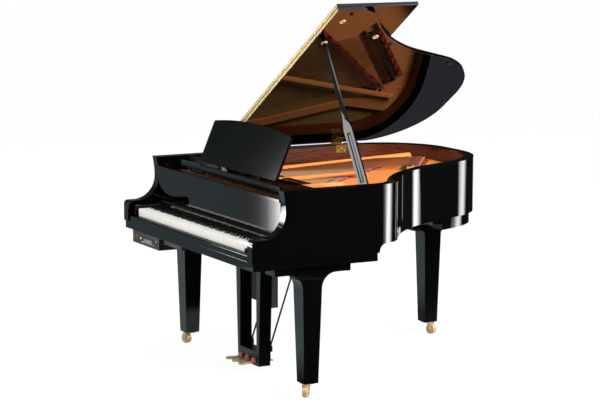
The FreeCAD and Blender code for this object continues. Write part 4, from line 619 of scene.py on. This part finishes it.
# Black painted steel rod, half gloss.
black_steel = finish("black_painted_steel", ("#131314", "#1B1B1C"), (0.35, 0.45), 8, IOR=1.5)
dress("lyre_posts pedal_box", lacquer, 1.6)
dress("left_pedal middle_pedal right_pedal", brass, 2.5)
# Coral red felt collars where the pedals leave the box.
coral_felt = finish("coral_felt", ("#BE4638", "#D8604E"), (0.9, 1.0), 0.8, 0.25, Sheen_Weight=0.4)
COLLAR = [(0.0001, 0.001), (0.010, 0.001), (0.0115, 0.004), (0.0115, 0.013), (0.009, 0.0155),
          (0.0001, 0.0155)]
COLLAR_HALF = 0.014
collar_bm = bmesh.new()
box_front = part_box("pedal_box")[0].y
for side in ("left", "middle", "right"):
    pedal_low, pedal_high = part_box(f"{side}_pedal")
    centre = (pedal_low.x + pedal_high.x) / 2
    run = [Vector((centre + aside, box_front, pedal_high.z)) for aside in (COLLAR_HALF, -COLLAR_HALF)]
    sweep(collar_bm, run, COLLAR)
piece("pedal_collars", collar_bm, [coral_felt], "case")
dress("left_pedal_rod middle_pedal_rod right_pedal_rod lyre_braces", black_steel)


# Player system. A moulded control unit under the bass end of the keybed with a display, two jacks, a knob and
# buttons, and steel boxes behind the lyre that hold the pedal drive and its power supply.

# Grey-black moulded plastic with a fine texture.
moulding = finish("black_moulded_plastic", ("#101112", "#18191A"), (0.4, 0.5), 1.2, 0.05, IOR=1.5)
# Sheet metal in grey paint and in a dull black paint. The grey is made lighter on the drive unit as painted
# light on its side, and the black is made darker on the supply box as painted shade on its front.
side_lit_grey_sheet = finish("grey_sheet_painted_side_light", ("#2C2F30", "#353839"), (0.4, 0.5), 10, IOR=1.5)
front_shade_black_sheet = finish("black_sheet_painted_front_shade", ("#07080A", "#0C0D0F"), (0.55, 0.65), 10, IOR=1.45)
# Unlit grey-blue glass of a liquid crystal display.
display = finish("unlit_display", ("#76838C", "#949FA6"), (0.12, 0.18), 6, IOR=1.5)
# Gold-plated rings of the jacks.
gold_plate = finish("gold_plate", ("#C99A45", "#E3BC6C"), (0.2, 0.3), 4, Metallic=1.0)
dress("control_unit", moulding, 1.5)
dress("control_button", ivory)
# The drive unit's grey is painted light on its side.
dress("drive_unit", side_lit_grey_sheet, 1.5)
JACK = [(0.0080, 0), (0.0080, 0.0030), (0.0070, 0.0050), (0.0048, 0.0050), (0.0042, 0.0012), (0, 0.0012)]
BORE = [(0.0043, 0.0013), (0.0036, 0.0020), (0, 0.0016)]
KNOB = [(0.0110, 0), (0.0110, 0.0010), (0.0098, 0.0014), (0.0092, 0.0046), (0.0080, 0.0050), (0, 0.0050)]
KNOB_RING = [(0.0118, 0), (0.0118, 0.0008), (0.0111, 0.0011), (0, 0.0009)]
KEY_CAP = [(0.0030, 0), (0.0030, 0.0014), (0.0024, 0.0020), (0, 0.0021)]
CAP_ASIDES, CAP_DROP = (-0.074, -0.062, 0.064), 0.008
# The bezel stands round the display and the glass lies within it: inset, height and material of each.
DISPLAY_LAYERS = ((-0.003, 0.0022, 0), (0.004, 0.0030, 1))
DISPLAY_FROM, KNOB_FROM = 0.05, 0.02
panel_bm = bmesh.new()
facing_out = Matrix.Rotation(math.pi / 2, 4, "X")
for points in solids("control_panel_fittings"):
    low, high = span(points)
    middle_x, middle_z = (low.x + high.x) / 2, (low.z + high.z) / 2
    place = Matrix.Translation((middle_x, high.y, middle_z)) @ facing_out
    if high.x - low.x > DISPLAY_FROM:
        for inset, proud, slot in DISPLAY_LAYERS:
            run = [Vector((x, high.y, low.z + inset)) for x in (low.x + inset, high.x - inset)]
            tall = high.z - low.z - 2 * inset
            sweep(panel_bm, run, [(0, 0), (0, tall), (-proud * 0.6, tall), (-proud, tall - proud * 0.4),
                                  (-proud, proud * 0.4), (-proud * 0.6, 0)], slot)
        for aside in CAP_ASIDES:
            cap_place = Matrix.Translation((middle_x + aside, high.y, middle_z - CAP_DROP))
            turned(panel_bm, KEY_CAP, cap_place @ facing_out, 12, 3)
    elif high.x - low.x > KNOB_FROM:
        turned(panel_bm, KNOB, place, 24, 0)
        turned(panel_bm, KNOB_RING, place, 24, 2)
    else:
        turned(panel_bm, JACK, place, 20, 2)
        turned(panel_bm, BORE, place, 20, 0)
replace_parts(piece("control_panel_parts", panel_bm, [moulding, display, gold_plate, ivory], "case"),
            "control_panel_fittings")
# A shallow box of folded sheet beside the drive unit, which holds its power supply.
SUPPLY_LEFT, SUPPLY_GAP, SUPPLY_SETBACK = -0.240, 0.0005, 0.002
SUPPLY = [(0.001, 0), (0.030, 0), (0.030, -0.312), (0.028, -0.314), (0.003, -0.314), (0.001, -0.312)]
supply_bm = bmesh.new()
drive_low, drive_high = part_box("drive_unit")
supply_run = [Vector((x, drive_low.y + SUPPLY_SETBACK, drive_high.z)) for x in
              (SUPPLY_LEFT, drive_low.x - SUPPLY_GAP)]
sweep(supply_bm, supply_run, SUPPLY)
# The supply box's dull black is painted shade on its front.
piece("power_supply_box", supply_bm, [front_shade_black_sheet], "case")


# Studio. A pale paper floor and soft lamps above. Round the piano stand dark and white boards that only
# reflections see; the mirror finish takes its black and its bright strips from them.

def studio_panel(name, verts, faces):
    """A flat stage mesh from its corners and faces."""
    mesh = bpy.data.meshes.new(name)
    mesh.from_pydata(verts, [], faces)
    item = bpy.data.objects.new(name, mesh)
    bpy.context.scene.collection.objects.link(item)
    item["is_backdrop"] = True
    return item


def bare_material(item, name):
    """Give a stage mesh a material with no nodes yet, and return its tree."""
    made = bpy.data.materials.new(name)
    made.use_nodes = True
    made.node_tree.nodes.clear()
    item.data.materials.append(made)
    return made.node_tree


def seen_rays(tree):
    """One for rays from the camera, from glossy surfaces and through glass, and nought for others."""
    rays = add(tree, "ShaderNodeLightPath")
    seen = rays.outputs["Is Camera Ray"]
    for kind in ("Is Glossy Ray", "Is Transmission Ray"):
        either = add(tree, "ShaderNodeMath", {"operation": "MAXIMUM"})
        tree.links.new(seen, either.inputs[0])
        tree.links.new(rays.outputs[kind], either.inputs[1])
        seen = either.outputs[0]
    return seen


# White paper that is seen as white, with a tenth of it left to the shadow of the piano.
FLOOR_HALF, WHITE_SHARE = 30, 0.9
floor = studio_panel("floor", [(-FLOOR_HALF, -FLOOR_HALF, 0), (FLOOR_HALF, -FLOOR_HALF, 0),
                               (FLOOR_HALF, FLOOR_HALF, 0), (-FLOOR_HALF, FLOOR_HALF, 0)], [(0, 1, 2, 3)])
tree = bare_material(floor, "white_paper_floor")
paper = add(tree, "ShaderNodeBsdfDiffuse", Color=linear("#E8E8E8"))
white = add(tree, "ShaderNodeEmission", Color=(1, 1, 1, 1), Strength=1.05)
lit_share = add(tree, "ShaderNodeMath", {"operation": "MULTIPLY"})
tree.links.new(seen_rays(tree), lit_share.inputs[0])
lit_share.inputs[1].default_value = WHITE_SHARE
blend = add(tree, "ShaderNodeMixShader", Fac=lit_share.outputs[0])
tree.links.new(paper.outputs[0], blend.inputs[1])
tree.links.new(white.outputs[0], blend.inputs[2])
add(tree, "ShaderNodeOutputMaterial", Surface=blend.outputs[0])


def shaded_light(tree, along, stops, strength):
    """Light whose colour changes along a factor, by stops of place and colour, and nothing else."""
    ramp = add(tree, "ShaderNodeValToRGB", Fac=along)
    bands = ramp.color_ramp.elements
    while len(bands) < len(stops):
        bands.new(0.5)
    for band, (place, colour) in zip(bands, stops):
        band.position = place
        band.color = colour
    light = add(tree, "ShaderNodeEmission", Color=ramp.outputs["Color"], Strength=strength)
    add(tree, "ShaderNodeOutputMaterial", Surface=light.outputs[0])


def light_by_direction(item, name, levels, heights):
    """Light levels by direction round the piano, in degrees from +X to +Y, dimmed between two heights."""
    tree = bare_material(item, name)
    where = add(tree, "ShaderNodeTexCoord")
    axes = add(tree, "ShaderNodeSeparateXYZ", Vector=where.outputs["Object"])
    angle = add(tree, "ShaderNodeMath", {"operation": "ARCTAN2"})
    tree.links.new(axes.outputs["Y"], angle.inputs[0])
    tree.links.new(axes.outputs["X"], angle.inputs[1])
    share = add(tree, "ShaderNodeMapRange", Value=angle.outputs[0], From_Min=-math.pi, From_Max=math.pi)
    low, high, high_level = heights
    dim = add(tree, "ShaderNodeMapRange", Value=axes.outputs["Z"], From_Min=low, From_Max=high, To_Min=1,
              To_Max=high_level)
    stops = [((degrees + 180) / 360, [level * t for t in tint] + [1]) for degrees, level, tint in levels]
    shaded_light(tree, share.outputs["Result"], stops, dim.outputs["Result"])


def only_reflected(item):
    """Hide a stage mesh from all but reflections."""
    item.visible_camera = False
    item.visible_diffuse = False
    item.visible_shadow = False
    item.visible_transmission = False


TENT_RADIUS, TENT_HEIGHT = 3.5, 4.0
around = [(TENT_RADIUS * math.cos(math.radians(a)), TENT_RADIUS * math.sin(math.radians(a)))
          for a in range(0, 360, 3)]
count = len(around)
tent_rings = [(x, y, z) for z in (0.002, TENT_HEIGHT) for x, y in around]
tent = studio_panel("reflection_wall", tent_rings,
                    [(k, (k + 1) % count, count + (k + 1) % count, count + k) for k in range(count)])
PLAIN, COOL, VIOLET = (1, 1, 1), (0.82, 1.0, 1.06), (1.0, 0.94, 1.15)
light_by_direction(tent, "studio_boards", [
    (-180, 0.2, COOL), (-110, 0.2, COOL), (-70, 0.04, PLAIN), (-40, 0.012, PLAIN), (150, 0.015, PLAIN),
    (180, 0.2, COOL)], (1.3, 1.7, 0.3))
only_reflected(tent)
carpet = studio_panel("reflection_floor", [(x, y, 0.001) for x, y in around], [tuple(range(count))])
light_by_direction(carpet, "dark_cloth", [
    (-180, 0.42, COOL), (-100, 0.42, COOL), (-60, 0.05, PLAIN), (-30, 0.012, PLAIN), (70, 0.012, PLAIN),
    (95, 0.1, VIOLET), (150, 0.13, VIOLET), (180, 0.42, COOL)], (0, 1, 1))
only_reflected(carpet)


def reflector(name, ends, heights, levels, strength):
    """An upright white board between two floor points that only reflections see, shaded along its run."""
    (ax, ay), (bx, by) = ends
    low, high = heights
    item = studio_panel(name, [(ax, ay, low), (bx, by, low), (bx, by, high), (ax, ay, high)], [(0, 1, 2, 3)])
    tree = bare_material(item, name)
    where = add(tree, "ShaderNodeTexCoord")
    axes = add(tree, "ShaderNodeSeparateXYZ", Vector=where.outputs["Generated"])
    stops = [(place, (level, level, level, 1)) for place, level in levels]
    shaded_light(tree, axes.outputs["X"], stops, strength)
    only_reflected(item)


reflector("treble_reflector", ((0.803, 1.046), (1.606, 0.536)), (0.46, 1.3),
          [(0, 0), (0.17, 0.17), (0.33, 0.67), (0.5, 1), (0.67, 0.53), (0.83, 0.1), (1, 0)], 14.5)
reflector("tail_reflector", ((-0.021, 1.627), (0.280, 1.009)), (0.49, 1.3),
          [(0, 0), (0.17, 0.17), (0.33, 0.36), (0.5, 0.8), (0.67, 1), (0.83, 0.85), (1, 0)], 7.3)
reflector("arm_reflector", ((-1.67, -1.66), (-0.85, -1.66)), (0.44, 1.6),
          [(0, 0.018), (0.107, 0.021), (0.22, 0.036), (0.33, 0.085), (0.443, 0.3), (0.535, 0.58), (0.647, 1),
           (1, 1)], 11)
reflector("desk_reflector", ((-2.40, -1.68), (-1.80, -1.68)), (1.5, 2.2),
          [(0, 0.03), (0.43, 0.04), (0.69, 0.1), (0.77, 0.5), (0.84, 1), (1, 1)], 2.5)
reflector("prop_reflector", ((-0.4, -3.4), (1.4, -3.4)), (1.9, 2.75), [(0, 0.8), (1, 1)], 6)
reflector("upper_prop_reflector", ((-0.4, -3.4), (1.4, -3.4)), (2.76, 3.4), [(0, 0.8), (1, 1)], 0.3)
reflector("low_reflector", ((-3.4, 0.5), (-1.9, 2.8)), (0.002, 0.75), [(0, 0.8), (1, 1)], 1.3)

# The room is white to the eye and gives half that light to the piano.
world = bpy.data.worlds.new("studio")
bpy.context.scene.world = world
world.use_nodes = True
tree = world.node_tree
tree.nodes.clear()
ambient = add(tree, "ShaderNodeBackground", Color=(1, 1, 1, 1), Strength=0.5)
backdrop = add(tree, "ShaderNodeBackground", Color=(1, 1, 1, 1), Strength=1.0)
blend = add(tree, "ShaderNodeMixShader", Fac=seen_rays(tree))
tree.links.new(ambient.outputs[0], blend.inputs[1])
tree.links.new(backdrop.outputs[0], blend.inputs[2])
add(tree, "ShaderNodeOutputWorld", Surface=blend.outputs[0])


def lamp(name, place, aim, size, power):
    """A soft square lamp that looks at a point."""
    data = bpy.data.lights.new(name, "AREA")
    data.size = size
    data.energy = power
    item = bpy.data.objects.new(name, data)
    item.location = place
    item.rotation_euler = (Vector(aim) - Vector(place)).to_track_quat("-Z", "Y").to_euler()
    bpy.context.scene.collection.objects.link(item)
    return item


lamp("key_softbox", (-0.6, -1.2, 5.0), (0, -0.4, 0.8), 3.2, 90)
lamp("front_softbox", (-0.8, -4.5, 3.6), (0, -0.5, 0.8), 2.5, 40)
# This lamp lights the open case from the right, and the polished sides do not mirror it.
lamp("case_softbox", (4.4, 2.4, 4.6), (0, 0.2, 0.9), 3.0, 1000).visible_glossy = False


# Camera. A long lens at the front right, higher than the raised lid, looking slightly down.

camera_data = bpy.data.cameras.new("camera")
camera_data.sensor_width = 36
camera_data.lens = 130.77
camera_data.shift_x = 0.0073
camera_data.shift_y = -0.0787
camera_data.clip_end = 100
camera = bpy.data.objects.new("camera", camera_data)
camera.location = (9.5208, -5.1784, 2.3969)
camera.rotation_euler = (math.radians(82.9), 0, math.radians(62.6))
bpy.context.scene.collection.objects.link(camera)
bpy.context.scene.camera = camera
bpy.context.scene.view_settings.view_transform = "Standard"

low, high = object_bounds()
